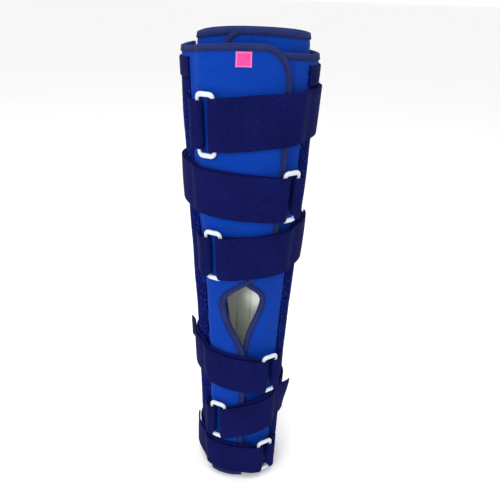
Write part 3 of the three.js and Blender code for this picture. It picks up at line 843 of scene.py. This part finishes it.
def build_lining(material, thread):
    """The lining hangs inside the inner wrap, with a sewn channel up the back of the leg."""
    wrap = PANELS["inner_wrap"]
    heights = np.linspace(LINING_MARGIN, HEIGHT - LINING_MARGIN, 240)

    def widest(end, side):
        steps = np.linspace(-1, 1, 5) * LINING_MARGIN
        return side * np.max([side * wrap.edges[end](heights + step) for step in steps], axis=0)

    start = np.maximum(widest(0, 1), wrap.edges[1](heights) - 360)
    first, last = start + LINING_INSET, widest(1, -1) - LINING_INSET
    share = np.linspace(0, 1, 190)
    angle = first[:, None] + (last - first)[:, None] * share[None, :]
    height = np.repeat(heights[:, None], len(share), axis=1)
    per_degree = metres_per_degree(height)
    groove = sum(bell((angle - seam) * per_degree, 1.1 * MM) for seam in LINING_SEAMS)
    swell = LINING_SWELL * ripple(angle * per_degree, height, 60 * MM, 8)
    inward = LINING_SEAM_DEPTH * (groove - 0.5) + swell
    base = wrap.offset(angle, height) - LINING_CLEARANCE
    inner = on_sleeve(angle, height, base - LINING_THICKNESS + inward)
    outer = on_sleeve(angle, height, base + inward)
    weave = np.stack([angle * per_degree, height], axis=-1)
    piece = dress(wall("lining_knit", inner, outer, weave), material, "grey_lining", "lining")
    lines = []
    for seam in LINING_SEAMS:
        turn = np.full_like(heights, seam)
        depth = wrap.offset(turn, heights) - LINING_CLEARANCE - 0.5 * MM
        lines.append((on_sleeve(turn, heights, depth), -outward(turn)))
    stitch_row("lining_stitches", lines, thread, "grey_lining", 3 * MM, 2.6 * MM)


def build_label(material, thread):
    """A bare woven label, sewn down along its upper edge."""
    top = LEFT_HEIGHT - LABEL_DROP
    half = LABEL_WIDTH / 2 / float(metres_per_degree(top))
    angles = LABEL_ANGLE + np.linspace(-half, half, 48)
    heights = np.linspace(top - LABEL_HEIGHT, top, 40)
    face = 2 * SIDE_FACE + 0.5 * MM

    def relief(angle, height, inside):
        loose = smooth(height, top - 5 * MM, top - LABEL_HEIGHT)
        curl = ((angle - LABEL_ANGLE) / half) ** 2
        return LABEL_CURL * loose * mix(0.3, 1, curl)

    angle, height = np.meshgrid(angles, heights)
    raised = face + 0.9 * relief(angle, height, 0)
    strip(
        "label_cloth", angles, heights, raised, LABEL_THICKNESS, relief, material, "pink_label",
        "label",
    )
    sewn = angles[3:-3]
    seam = on_sleeve(sewn, np.full_like(sewn, top - 1.2 * MM), face + LABEL_THICKNESS)
    lines = [(seam, outward(sewn))]
    stitch_row("label_stitches", lines, thread, "pink_label", 1.6 * MM, 1.2 * MM, 0.2 * MM)


# Straps, tabs and loops

SEATS = {
    "angle": (-182, -138, -124, -52, -42, 41, 52, 124, 138, 182),
    "offset": (
        OVER_BACK, OVER_BACK, OVER_SIDE, OVER_SIDE, OVER_FRONT, OVER_FRONT, OVER_SIDE, OVER_SIDE,
        OVER_BACK, OVER_BACK,
    ),
}


def seat(angle):
    """The offset at which a strap clears what lies under it."""
    return read(SEATS, "offset", angle, 2.5)


class Layout:
    """The places of one strap: its loop, the bars of the loop, and how far out they lie."""

    def __init__(self, number, strap):
        self.name, self.strap, self.side = str(number + 1), strap, strap["side"]
        self.middle, self.tuck = strap["middle"] * HEIGHT, strap.get("tuck", 0)
        self.slip, self.trim = strap.get("slip", 0), strap.get("trim", 0)
        self.lifted, self.curl = strap.get("lifted", (-2, -1)), strap.get("curl", FREE_END)
        self.half = strap["width"] * HEIGHT / 2
        self.arm = float(sleeve_radius(self.middle)) + OVER_FRONT
        self.loop = -strap["loop"]
        spread = self.turn((LOOP_WIDTH - LOOP_SIDE_BAR) / 2)
        places = np.array([self.loop - spread, self.loop, self.loop + spread])
        self.loop_seat = float(np.max(self.seat(places)))
        self.bar, self.tab_bar = self.loop + spread, self.loop - spread

    def turn(self, length):
        return math.degrees(length / self.arm)

    def seat(self, angle):
        return seat(-self.side * np.asarray(angle)) + WEBBING_THICKNESS / 2 + 0.1 * MM

    def rise(self, angle):
        return self.strap["climb"] * HEIGHT * np.sin(np.radians(angle))


def fold_places(layout, bar, towards):
    """The half turn round a bar of the loop, as angle and offset."""
    turn = np.linspace(0, math.pi, FOLD_POINTS)
    reach = np.degrees((FOLD_OVERHANG + FOLD_RADIUS * np.sin(turn)) / layout.arm)
    return bar + towards * reach, layout.loop_seat + FOLD_RADIUS * (1 - np.cos(turn))


def upper_layer(layout, angle, settling, bar):
    """The offset of the layer that lies over another, from a loop's bar outwards."""
    settle = smooth(angle, bar + settling[0], bar + settling[1])
    base = mix(np.full_like(angle, layout.loop_seat), layout.seat(angle), settle)
    return base + mix(2 * FOLD_RADIUS, LAYER, settle)


def strap_path(layout):
    """A strap runs from behind the leg to its loop, round the bar and back.

    Gives the angle, offset, rise and lift of its places, and where the fold starts.
    """
    step, bar, end = layout.turn(2.6 * MM), layout.bar, layout.strap["end"]
    lower = np.arange(ANCHOR_ANGLE, bar + 1, -step)
    near = smooth(lower, bar + LOWER_SETTLING[0], bar + LOWER_SETTLING[1])
    lower_offset = mix(layout.seat(lower), layout.loop_seat, near)
    fold, fold_offset = fold_places(layout, bar, -1)
    upper = np.arange(bar + step, end, step)
    upper_offset = upper_layer(layout, upper, UPPER_SETTLING, bar)
    share = (upper - bar) / (end - bar)
    kick = layout.strap["kick"] * HEIGHT * smooth(share, *FREE_END) ** 2
    slip = layout.slip * smooth(lower, bar + SLIP_SETTLING[0], bar + SLIP_SETTLING[1])
    level = np.full_like(fold, layout.rise(layout.loop))
    angle = np.concatenate([lower, fold, upper])
    offset = np.concatenate([lower_offset, fold_offset, upper_offset])
    rise = np.concatenate([layout.rise(lower) + slip, level, layout.rise(upper) + kick])
    curl = layout.strap["lift"] * HEIGHT * smooth(share, *layout.curl) ** 2
    lift = np.concatenate([0 * lower, 0 * fold, curl])
    return angle, offset, rise, lift, len(lower)


def tab_path(layout):
    """A tab is sewn on the side panel, runs to the loop, round its other bar and back."""
    bar = layout.tab_bar
    away = bar - layout.turn(TAB_LENGTH)
    lower = np.linspace(away, bar, 14)[:-1]
    fold, fold_offset = fold_places(layout, bar, 1)
    upper = np.linspace(bar, away, 16)[1:]
    upper_offset = upper_layer(layout, upper, TAB_SETTLING, bar)
    offset = np.concatenate([layout.seat(lower), fold_offset, upper_offset])
    angle = np.concatenate([lower, fold, upper])
    return angle, offset, np.full_like(angle, layout.rise(layout.loop)), 0 * angle, len(lower)


def webbing_section(half, count):
    """A flat band with round selvedges: places across it, and their distance from its middle."""
    round_edge = WEBBING_THICKNESS / 2
    across = np.linspace(-half + round_edge, half - round_edge, count)
    turns = np.radians((60, 0, -60))
    crown = WEBBING_CROWN * (1 - (across / half) ** 2)
    rib = SELVEDGE_DEPTH * bell(half - np.abs(across) - SELVEDGE, 0.6 * MM)
    face = round_edge + crown - rib
    right = half - round_edge + round_edge * np.cos(turns), round_edge * np.sin(turns)
    left = -right[0], -right[1]
    return (
        np.concatenate([across, right[0], across[::-1], left[0]]),
        np.concatenate([face, right[1], -(round_edge - 0.3 * crown)[::-1], left[1]]),
    )


def build_webbing(solid, layout, path, half, material):
    """Webbing laid along a path, with edges that wander a little as worn webbing does."""
    name = solid + "_webbing"
    angle, offset, rise, free, fold = path
    flat = np.stack([np.radians(angle) * layout.arm, offset], axis=1)
    along = np.gradient(flat, axis=0)
    along = along / np.linalg.norm(along, axis=1)[:, None]
    normal = np.stack([-along[:, 1], along[:, 0]], axis=1)
    length = np.concatenate([[0], np.cumsum(np.linalg.norm(np.diff(flat, axis=0), axis=1))])
    across, lift = webbing_section(half, 26)
    seed = int(layout.name) + len(name)
    waver = WAVER * ripple(length[:, None], 0 * across[None, :], WAVER_SIZE, seed)
    cup = CUP * ripple(length[:, None], across[None, :], CUP_SIZE, seed + 5)
    outside = np.sign(flat[:, 1] - layout.loop_seat - FOLD_RADIUS)[:, None] > 0
    before = smooth(length, length[fold] - LOWER_EDGE_EASE, length[fold])
    after = smooth(length, length[fold + FOLD_POINTS - 1], length[fold + FOLD_EASED])
    trimmed = smooth(free, 0, TRIM_ONSET * max(free.max(), MM))
    squeeze = layout.tuck * before * after + layout.trim * trimmed
    height = layout.middle + rise[:, None] + across[None, :] + waver
    height = height + squeeze[:, None] * (0.5 - across / half / 2)[None, :]
    freed = free[:, None] * smooth(across / half, *layout.lifted)[None, :]
    high = lift[None, :] + np.where(outside, cup, 0.2 * cup) + freed
    turned = angle[:, None] + np.degrees(normal[:, :1] * high / layout.arm)
    raised = offset[:, None] + normal[:, 1:] * high
    sections = on_sleeve(-layout.side * turned, height, raised)
    around = np.concatenate([[0], np.cumsum(np.hypot(np.diff(across), np.diff(lift)))])
    weave = np.stack(np.broadcast_arrays(length[:, None], around[None, :] - half), axis=-1)
    return dress(swept(name, sections, weave, False), material, "webbing", solid)


def loop_tree():
    """A moulded rectangular ring with round corners, thicker at its ends, bent to the leg."""
    quadrilateral, fillet = "GeometryNodeCurvePrimitiveQuadrilateral", "GeometryNodeFilletCurve"
    tree, given = new_tree("Strap loop", LOOP_SIZES, "Plastic")
    outline = node(tree, quadrilateral, {"Width": given["Width"], "Height": given["Height"]})
    cornered = {"Curve": outline.outputs["Curve"], "Count": 8, "Radius": given["Corner"]}
    ring = node(tree, fillet, cornered, mode="POLY").outputs["Curve"]
    spaced = {"Curve": ring, "Length": 1.2 * MM}
    dense = node(tree, "GeometryNodeResampleCurve", spaced, mode="LENGTH")
    bar = node(tree, quadrilateral, {"Width": given["Bar width"], "Height": given["Bar thickness"]})
    rounded = {"Curve": bar.outputs["Curve"], "Count": 4, "Radius": LOOP_ROUNDING}
    section = node(tree, fillet, rounded, mode="POLY").outputs["Curve"]
    place = node(tree, "GeometryNodeInputPosition").outputs["Position"]
    across, upwards, _ = node(tree, "ShaderNodeSeparateXYZ", {"Vector": place}).outputs
    end = calculate(tree, "MULTIPLY", given["Height"], 0.5)
    grown = node(tree, "ShaderNodeMapRange", {
        "Value": calculate(tree, "ABSOLUTE", upwards),
        "From Min": calculate(tree, "SUBTRACT", end, LOOP_END_REACH),
        "From Max": end,
        "To Min": 1.0,
        "To Max": LOOP_END_SHARE,
    }, interpolation_type="SMOOTHSTEP")
    solid = node(tree, "GeometryNodeCurveToMesh", {
        "Curve": dense.outputs["Curve"], "Profile Curve": section, "Scale": grown.outputs["Result"],
    })
    square = calculate(tree, "MULTIPLY", across, across)
    double = calculate(tree, "MULTIPLY", given["Bend radius"], -2.0)
    drop = calculate(tree, "DIVIDE", square, double)
    offset = node(tree, "ShaderNodeCombineXYZ", {"Z": drop}).outputs["Vector"]
    lowered = {"Geometry": solid.outputs["Mesh"], "Offset": offset}
    bent = node(tree, "GeometryNodeSetPosition", lowered)
    return end_tree(tree, bent.outputs["Geometry"], given["Plastic"])


def build_loop(layout, material):
    """One loop, set on the sleeve between the strap's fold and the tab's."""
    piece = new_object("loop_%s_ring" % layout.name, bpy.data.meshes.new("loop"))
    tree = bpy.data.node_groups.get("Strap loop") or loop_tree()
    tall = 2 * (layout.half + LOOP_PLAY) + LOOP_END_BAR - layout.tuck
    run_nodes(piece, tree, Height=tall, Plastic=material, **{"Bend radius": layout.arm})
    turn = -layout.side * layout.loop
    middle = layout.middle + float(layout.rise(layout.loop)) + layout.tuck / 2
    offset = layout.loop_seat + FOLD_RADIUS
    reach = 20 * MM
    low, centre, high = (
        Vector(on_sleeve(turn, middle + step, offset)) for step in (-reach, 0, reach)
    )
    upward = (high - low).normalized()
    sideways = (Vector(on_sleeve(turn + 1, middle, offset)) - centre).normalized()
    forward = sideways.cross(upward).normalized()
    axes = Matrix((upward.cross(forward), upward, forward)).transposed().to_4x4()
    piece.data.transform(Matrix.Translation(centre) @ axes)
    return dress(piece, material, "white_plastic", "loop_" + layout.name)


# Materials


CLOUD_ENDS = (0.3, 0.7)  # between which most of a noise lies
WHITE = (1, 1, 1)


class Finish:
    """A material in the making: a Principled shader with colour variation and a relief."""

    def __init__(self, name, colour, roughness, specular, sheen=None, coat=None):
        self.material = bpy.data.materials.new(name)
        self.material.use_nodes = True
        self.tree = self.material.node_tree
        self.shader = self.tree.nodes["Principled BSDF"]
        sockets = {"Roughness": roughness, "Specular IOR Level": specular}
        if sheen:
            weight, spread, tint = sheen
            sockets |= {"Sheen Weight": weight, "Sheen Roughness": spread, "Sheen Tint": (*tint, 1)}
        if coat:
            sockets |= dict(zip(("Coat Weight", "Coat Roughness"), coat))
        for socket, value in sockets.items():
            self.shader.inputs[socket].default_value = value
        self.colour = self.node("ShaderNodeRGB")[0]
        self.colour.default_value = (*colour, 1)
        self.relief = None

    def node(self, kind, inputs=None, **settings):
        return node(self.tree, kind, inputs, **settings).outputs

    def noise(self, scale, detail=3.0, stretch=(1, 1, 1)):
        """Clouds on object coordinates, from 0 to 1."""
        place = self.node("ShaderNodeTexCoord")["Object"]
        stretched = self.node("ShaderNodeMapping", {"Vector": place, "Scale": stretch})["Vector"]
        clouds = {"Vector": stretched, "Scale": scale, "Detail": detail}
        return self.node("ShaderNodeTexNoise", clouds)["Fac"]

    def weave(self):
        return self.node("ShaderNodeUVMap", uv_map="weave")["UV"]

    def waves(self, period, direction, distortion=0.0):
        """Even ribs that follow the weave map, from 0 to 1."""
        ribs = {
            "Vector": self.weave(), "Scale": math.tau / 20 / period, "Distortion": distortion,
            "Detail": 1.0, "Detail Scale": 2.0,
        }
        return self.node("ShaderNodeTexWave", ribs, bands_direction=direction)["Fac"]

    def cells(self, size):
        """Small round tufts or stitches that follow the weave map."""
        tufts = {"Vector": self.weave(), "Scale": 1 / size, "Randomness": 0.8}
        return self.node("ShaderNodeTexVoronoi", tufts)["Distance"]

    def away(self, axis, line):
        """How far a point of the weave map lies from a line across it."""
        place = self.node("ShaderNodeSeparateXYZ", {"Vector": self.weave()})[axis]
        return calculate(self.tree, "ABSOLUTE", calculate(self.tree, "SUBTRACT", place, line))

    def product(self, first, second):
        return calculate(self.tree, "MULTIPLY", first, second)

    def spread(self, value, low, high, start=0.0, end=1.0):
        """Goes from start to end as value goes from low to high."""
        ends = {"Value": value, "From Min": low, "From Max": high, "To Min": start, "To Max": end}
        return self.node("ShaderNodeMapRange", ends)["Result"]

    def shade(self, value, low, high, darkest, lightest):
        """Scales the colour from darkest to lightest as value goes from low to high."""
        scale = self.spread(value, low, high, darkest, lightest)
        scaled = {0: self.colour, "Scale": scale}
        self.colour = self.node("ShaderNodeVectorMath", scaled, operation="SCALE")["Vector"]

    def cloud(self, scale, detail, darkest, lightest, stretch=(1, 1, 1)):
        """Clouds the colour, and returns the clouds."""
        clouds = self.noise(scale, detail, stretch)
        self.shade(clouds, *CLOUD_ENDS, darkest, lightest)
        return clouds

    def tint(self, value, low, high, colour):
        """Moves the colour towards another as value goes from low to high."""
        ends = {0: self.spread(value, low, high), 6: self.colour, 7: (*colour, 1)}
        self.colour = self.node("ShaderNodeMix", ends, data_type="RGBA")[2]

    def bump(self, height, distance, strength=1.0):
        inputs = {"Height": height, "Strength": strength, "Distance": distance}
        if self.relief is not None:
            inputs["Normal"] = self.relief
        self.relief = self.node("ShaderNodeBump", inputs)["Normal"]

    def rough(self, value, low, high):
        spread = self.spread(value, 0.0, 1.0, low, high)
        self.tree.links.new(spread, self.shader.inputs["Roughness"])

    def finished(self):
        self.tree.links.new(self.colour, self.shader.inputs["Base Color"])
        if self.relief is not None:
            self.tree.links.new(self.relief, self.shader.inputs["Normal"])
        return self.material


def brushed_cloth(name, colour):
    """Foam-backed cloth with a short brushed face over a fine knit."""
    made = Finish(name, colour, 0.85, 0.08, sheen=(0.06, 0.5, (0.15, 0.35, 1)))
    made.cloud(14, 2, 0.9, 1.08)
    fuzz = made.cloud(900, 2, 0.82, 1.14, (1, 1, 0.5))
    knit = made.product(made.waves(1.1 * MM, "X", 1.5), made.waves(0.8 * MM, "Y", 1.5))
    made.shade(knit, 0, 1, 0.92, 1.08)
    made.bump(knit, 0.14 * MM, 0.6)
    made.bump(fuzz, 0.3 * MM, 0.6)
    made.rough(made.noise(60), 0.78, 0.92)
    return made.finished()


def woven_webbing(name, colour):
    """Smooth-faced loop webbing: a fine twill with a slightly worn face."""
    made = Finish(name, colour, 0.8, 0.02, sheen=(0.01, 0.4, (0.3, 0.35, 1)))
    twill = made.product(made.waves(1.0 * MM, "DIAGONAL", 0.6), made.waves(1.3 * MM, "Y", 0.8))
    made.cloud(22, 3, 0.84, 1.16)
    made.cloud(500, 3, 0.68, 1.3)
    made.shade(twill, 0, 1, 0.86, 1.14)
    made.bump(twill, 0.16 * MM, 0.6)
    made.bump(made.noise(1100, 2), 0.14 * MM, 0.5)
    made.rough(made.noise(45), 0.62, 0.84)
    return made.finished()


def edge_tape(name, colour):
    """Ribbed edge tape, with painted shade along the groove where its stitches draw it in."""
    made = Finish(name, colour, 0.8, 0.04, sheen=(0.02, 0.4, (0.35, 0.45, 1)))
    ribs = made.waves(1.0 * MM, "X", 0.8)
    lengthwise = made.waves(1.7 * MM, "Y", 0.4)
    made.cloud(40, 3, 0.86, 1.14)
    made.shade(made.product(ribs, lengthwise), 0, 1, 0.74, 1.3)
    # Painted shade: the colour darkens along the groove of the stitches
    made.shade(made.away("Y", TAPE_STITCHES), 0.3 * MM, 1.1 * MM, 0.75, 1)
    made.bump(ribs, 0.16 * MM, 0.6)
    made.bump(lengthwise, 0.18 * MM, 0.6)
    return made.finished()


def loop_pile(name, colour, glint):
    """Dense pile, with painted shade between its tufts and painted glints where they catch the
    light here and there.
    """
    made = Finish(name, colour, 0.9, 0.02, sheen=(0.02, 0.3, (0.2, 0.35, 1)))
    tufts = made.cells(1.3 * MM)
    clouds = made.noise(420, 3)
    # Painted shade: darker between the tufts, lighter at their middles
    made.shade(tufts, 0, 0.8, 1.2, 0.45)
    made.cloud(30, 3, 0.75, 1.2)
    # Painted glints: the pile tips' colour mixed in here and there
    made.tint(clouds, 0.56, 0.7, glint)
    made.bump(tufts, 0.5 * MM, -0.8)
    made.bump(clouds, 0.5 * MM, 0.6)
    return made.finished()


def knitted_lining(name, colour):
    """Soft ribbed knit, darker in the sewn seams."""
    made = Finish(name, colour, 0.9, 0.2, sheen=(0.15, 0.5, WHITE))
    ribs = made.waves(1.6 * MM, "X", 1.0)
    loops = made.waves(1.2 * MM, "Y", 1.0)
    made.cloud(25, 3, 0.9, 1.06)
    made.shade(made.product(ribs, loops), 0, 1, 0.86, 1.06)
    made.bump(ribs, 0.2 * MM, 0.6)
    made.bump(loops, 0.12 * MM, 0.5)
    return made.finished()


def moulded_plastic(name, colour):
    """Satin moulded plastic with a faint flow and scuffs."""
    made = Finish(name, colour, 0.35, 0.5, coat=(0.1, 0.25))
    made.cloud(120, 2, 0.94, 1.04)
    scuffs = made.noise(500, 4, (0.15, 0.15, 1))
    made.bump(scuffs, 0.03 * MM, 0.6)
    made.bump(made.noise(90, 2), 0.1 * MM, 0.5)
    made.rough(scuffs, 0.28, 0.5)
    return made.finished()


def woven_label(name, colour):
    """Closely woven satin ribbon with a paler border."""
    made = Finish(name, colour, 0.6, 0.25, sheen=(0.05, 0.3, WHITE))
    warp, weft = made.waves(0.5 * MM, "X", 0.3), made.waves(0.6 * MM, "Y", 0.3)
    made.shade(made.product(warp, weft), 0, 1, 0.88, 1.12)
    made.cloud(150, 3, 0.92, 1.06)
    middle = LEFT_HEIGHT - LABEL_DROP - LABEL_HEIGHT / 2
    across = made.away("X", LABEL_ANGLE * float(metres_per_degree(middle)))
    upwards = made.away("Y", middle)
    pale = tuple(mix(channel, 1.0, 0.08) for channel in colour)
    for distance, size in ((across, LABEL_WIDTH), (upwards, LABEL_HEIGHT)):
        border = size / 2 - LABEL_BORDER
        made.tint(distance, border - 0.3 * MM, border, pale)
    made.bump(warp, 0.06 * MM, 0.6)
    made.bump(weft, 0.06 * MM, 0.6)
    return made.finished()


def thread(name, colour):
    made = Finish(name, colour, 0.7, 0.15, sheen=(0.05, 0.5, WHITE))
    made.cloud(900, 2, 0.7, 1.3)
    made.bump(made.noise(2500, 1), 0.05 * MM, 0.6)
    return made.finished()


def pale_floor(name, colour):
    made = Finish(name, colour, 0.9, 0.1)
    made.cloud(3, 2, 0.995, 1.005)
    return made.finished()


def colour_property(name, description, default):
    return bpy.props.FloatVectorProperty(
        name=name, description=description, subtype="COLOR", size=3, min=0, max=1, default=default
    )


def length_property(name, description, default):
    return bpy.props.FloatProperty(
        name=name, description=description, subtype="DISTANCE", default=default
    )


class ImmobilizerColours(bpy.types.PropertyGroup):
    """Colours of the cloths, tapes and plastic."""

    cloth: colour_property("Cloth", "Brushed face of the padded panels", (0.0005, 0.034, 0.29))
    webbing: colour_property("Webbing", "Straps, tabs and end patches", (0.004, 0.0055, 0.06))
    tape: colour_property("Edge tape", "Tape that binds the edges", (0.017, 0.026, 0.115))
    pile: colour_property("Pile", "Bands that the straps hold on to", (0.0007, 0.003, 0.085))
    glint: colour_property("Pile tips", "Tips of the pile in the light", (0.012, 0.04, 0.3))
    lining: colour_property("Lining", "Knit inside the sleeve", (0.86, 0.88, 0.82))
    plastic: colour_property("Loops", "Moulded strap loops", (0.55, 0.59, 0.66))
    label: colour_property("Label", "Bare woven label", (0.62, 0.045, 0.26))
    dark_thread: colour_property(
        "Dark thread", "Stitches in the tape, the pile and the webbing", (0.003, 0.005, 0.028)
    )
    grey_thread: colour_property(
        "Grey thread", "Stitches in the lining's seams", (0.03, 0.03, 0.03)
    )


class ImmobilizerSizes(bpy.types.PropertyGroup):
    """Sizes of the padding and the fineness of the cloth."""

    puff: length_property("Puff", "How far the foam swells between the bound edges", 0.55 * MM)
    wrinkle: length_property("Wrinkle", "Height of the soft folds in the panels", 0.32 * MM)
    cell: length_property("Cell", "Distance between the points of a panel's cloth", 2.6 * MM)


FINISHES = {
    "blue cloth": (brushed_cloth, "cloth"),
    "navy webbing": (woven_webbing, "webbing"),
    "edge tape": (edge_tape, "tape"),
    "grey lining": (knitted_lining, "lining"),
    "white plastic": (moulded_plastic, "plastic"),
    "pink label": (woven_label, "label"),
    "dark thread": (thread, "dark_thread"),
    "grey thread": (thread, "grey_thread"),
}


def finish(name):
    """The material of that name, made from the chosen colours when it is first asked for."""
    found = bpy.data.materials.get(name)
    if found:
        return found
    colours = bpy.context.scene.immobilizer_colours
    if name == "navy pile":
        return loop_pile(name, tuple(colours.pile), tuple(colours.glint))
    make, colour = FINISHES[name]
    return make(name, tuple(getattr(colours, colour)))


# Operators


class IMMOBILIZER_OT_panels(bpy.types.Operator):
    """Pads the inner wrap and the two side panels"""

    bl_idname = "immobilizer.panels"
    bl_label = "Padded Panels"

    def execute(self, context):
        sizes = context.scene.immobilizer_sizes
        cloth = finish("blue cloth")
        for panel in PANELS.values():
            build_panel(panel, sizes.puff, sizes.wrinkle, sizes.cell, cloth, "blue_cloth")
        return {"FINISHED"}


class IMMOBILIZER_OT_edges(bpy.types.Operator):
    """Folds stitched tape round the edges of the panels"""

    bl_idname = "immobilizer.edges"
    bl_label = "Bound Edges"

    def execute(self, context):
        for panel in PANELS.values():
            build_binding(panel, finish("edge tape"))
            binding_stitches(panel, finish("dark thread"))
        return {"FINISHED"}


class IMMOBILIZER_OT_lining(bpy.types.Operator):
    """Lines the sleeve and sews its channel"""

    bl_idname = "immobilizer.lining"
    bl_label = "Lining"

    def execute(self, context):
        build_lining(finish("grey lining"), finish("grey thread"))
        return {"FINISHED"}


class IMMOBILIZER_OT_bands(bpy.types.Operator):
    """Sews the pile bands and their end patches on the side panels"""

    bl_idname = "immobilizer.bands"
    bl_label = "Pile Bands"

    def execute(self, context):
        build_bands(finish("navy pile"), finish("navy webbing"), finish("dark thread"))
        return {"FINISHED"}


class IMMOBILIZER_OT_straps(bpy.types.Operator):
    """Lays the straps and tabs round their loops"""

    bl_idname = "immobilizer.straps"
    bl_label = "Straps and Tabs"

    def execute(self, context):
        webbing = finish("navy webbing")
        for number, strap in enumerate(STRAPS):
            layout = Layout(number, strap)
            half = layout.half
            build_webbing("strap_" + layout.name, layout, strap_path(layout), half, webbing)
            half = layout.half - TAB_NARROWING / 2
            build_webbing("tab_" + layout.name, layout, tab_path(layout), half, webbing)
        return {"FINISHED"}


class IMMOBILIZER_OT_loops(bpy.types.Operator):
    """Hangs the plastic loops between the straps and the tabs"""

    bl_idname = "immobilizer.loops"
    bl_label = "Strap Loops"

    def execute(self, context):
        for number, strap in enumerate(STRAPS):
            build_loop(Layout(number, strap), finish("white plastic"))
        return {"FINISHED"}


class IMMOBILIZER_OT_label(bpy.types.Operator):
    """Sews the bare label below the upper edge"""

    bl_idname = "immobilizer.label"
    bl_label = "Bare Label"

    def execute(self, context):
        build_label(finish("pink label"), finish("pink label"))
        return {"FINISHED"}


CAMERA_REACH = 709 * MM
CAMERA_HEIGHT = 632 * MM
CAMERA_SIDE = 7 * MM
CAMERA_PITCH = 23.3
CAMERA_ROLL = 1.9
CAMERA_LENS = 42.7
SOFT_LIGHTS = (
    # name, place, size in metres, power in watts
    ("Key light", (-0.5, -1.6, 1.2), 0.8, 16),
    ("Top light", (-0.2, -0.2, 2.1), 1.2, 16),
)
# A narrow light through the kneecap opening: where it stands and aims, its degrees and its watts
INNER_LIGHT = (-0.26, -1.55, 0.86), (0.018, 0.05, 0.236), 1.3, 95
FLOOR_SIDE, FLOOR_FRONT, FLOOR_BACK = 40, -9, 90


def new_light(name, kind, place, aim, **settings):
    light = bpy.data.lights.new(name, kind)
    for setting, value in settings.items():
        setattr(light, setting, value)
    lamp = new_object(name, light)
    lamp.location = place
    lamp.rotation_euler = (Vector(aim) - Vector(place)).to_track_quat("-Z", "Y").to_euler()


class IMMOBILIZER_OT_stage(bpy.types.Operator):
    """Sets the floor, the lights and the camera"""

    bl_idname = "immobilizer.stage"
    bl_label = "Stage"

    def execute(self, context):
        scene = context.scene
        ends = (-FLOOR_SIDE, FLOOR_FRONT), (FLOOR_SIDE, FLOOR_FRONT), (FLOOR_SIDE, FLOOR_BACK)
        ground = np.array([(*end, 0) for end in (*ends, (-FLOOR_SIDE, FLOOR_BACK))], float)
        floor = new_mesh("floor", ground, np.array([(0, 1, 2, 3)]))
        floor.data.materials.append(pale_floor("pale floor", (0.93, 0.93, 0.93)))
        world = bpy.data.worlds.new("Studio")
        world.use_nodes = True
        backdrop = world.node_tree.nodes["Background"]
        backdrop.inputs["Color"].default_value = (*WHITE, 1)
        backdrop.inputs["Strength"].default_value = 1
        scene.world = world
        for name, place, size, power in SOFT_LIGHTS:
            new_light(name, "AREA", place, (0, 0, HEIGHT / 2), size=size, energy=power)
        place, aim, degrees, power = INNER_LIGHT
        new_light(
            "Inner light", "SPOT", place, aim, spot_size=math.radians(degrees), spot_blend=1,
            energy=power, shadow_soft_size=10 * MM,
        )
        camera = bpy.data.cameras.new("Camera")
        camera.lens = CAMERA_LENS
        viewer = new_object("Camera", camera)
        tilt = Matrix.Rotation(math.radians(90 - CAMERA_PITCH), 4, "X")
        roll = Matrix.Rotation(math.radians(CAMERA_ROLL), 4, "Z")
        place = Vector((AXIS_X + CAMERA_SIDE, AXIS_Y - CAMERA_REACH, CAMERA_HEIGHT))
        viewer.matrix_world = Matrix.Translation(place) @ tilt @ roll
        scene.camera = viewer
        scene.view_settings.view_transform = "Standard"
        return {"FINISHED"}


OPERATORS = (
    IMMOBILIZER_OT_panels,
    IMMOBILIZER_OT_edges,
    IMMOBILIZER_OT_lining,
    IMMOBILIZER_OT_bands,
    IMMOBILIZER_OT_straps,
    IMMOBILIZER_OT_loops,
    IMMOBILIZER_OT_label,
    IMMOBILIZER_OT_stage,
)


class IMMOBILIZER_PT_parts(bpy.types.Panel):
    """Lists the steps that dress the immobilizer"""

    bl_idname = "IMMOBILIZER_PT_parts"
    bl_label = "Knee Immobilizer"
    bl_space_type = "VIEW_3D"
    bl_region_type = "UI"
    bl_category = "Immobilizer"

    def draw(self, context):
        scene = context.scene
        for group in (scene.immobilizer_sizes, scene.immobilizer_colours):
            for name in group.bl_rna.properties.keys():
                if name not in ("rna_type", "name"):
                    self.layout.prop(group, name)
        for operator in OPERATORS:
            self.layout.operator(operator.bl_idname)


CLASSES = (ImmobilizerColours, ImmobilizerSizes, *OPERATORS, IMMOBILIZER_PT_parts)


def register():
    for item in CLASSES:
        bpy.utils.register_class(item)
    bpy.types.Scene.immobilizer_colours = bpy.props.PointerProperty(type=ImmobilizerColours)
    bpy.types.Scene.immobilizer_sizes = bpy.props.PointerProperty(type=ImmobilizerSizes)


def unregister():
    del bpy.types.Scene.immobilizer_sizes
    del bpy.types.Scene.immobilizer_colours
    for item in reversed(CLASSES):
        bpy.utils.unregister_class(item)


def main():
    register()
    bpy.ops.immobilizer.panels()
    bpy.ops.immobilizer.edges()
    bpy.ops.immobilizer.lining()
    bpy.ops.immobilizer.bands()
    bpy.ops.immobilizer.straps()
    bpy.ops.immobilizer.loops()
    bpy.ops.immobilizer.label()
    bpy.ops.immobilizer.stage()


if __name__ == "__main__":
    main()
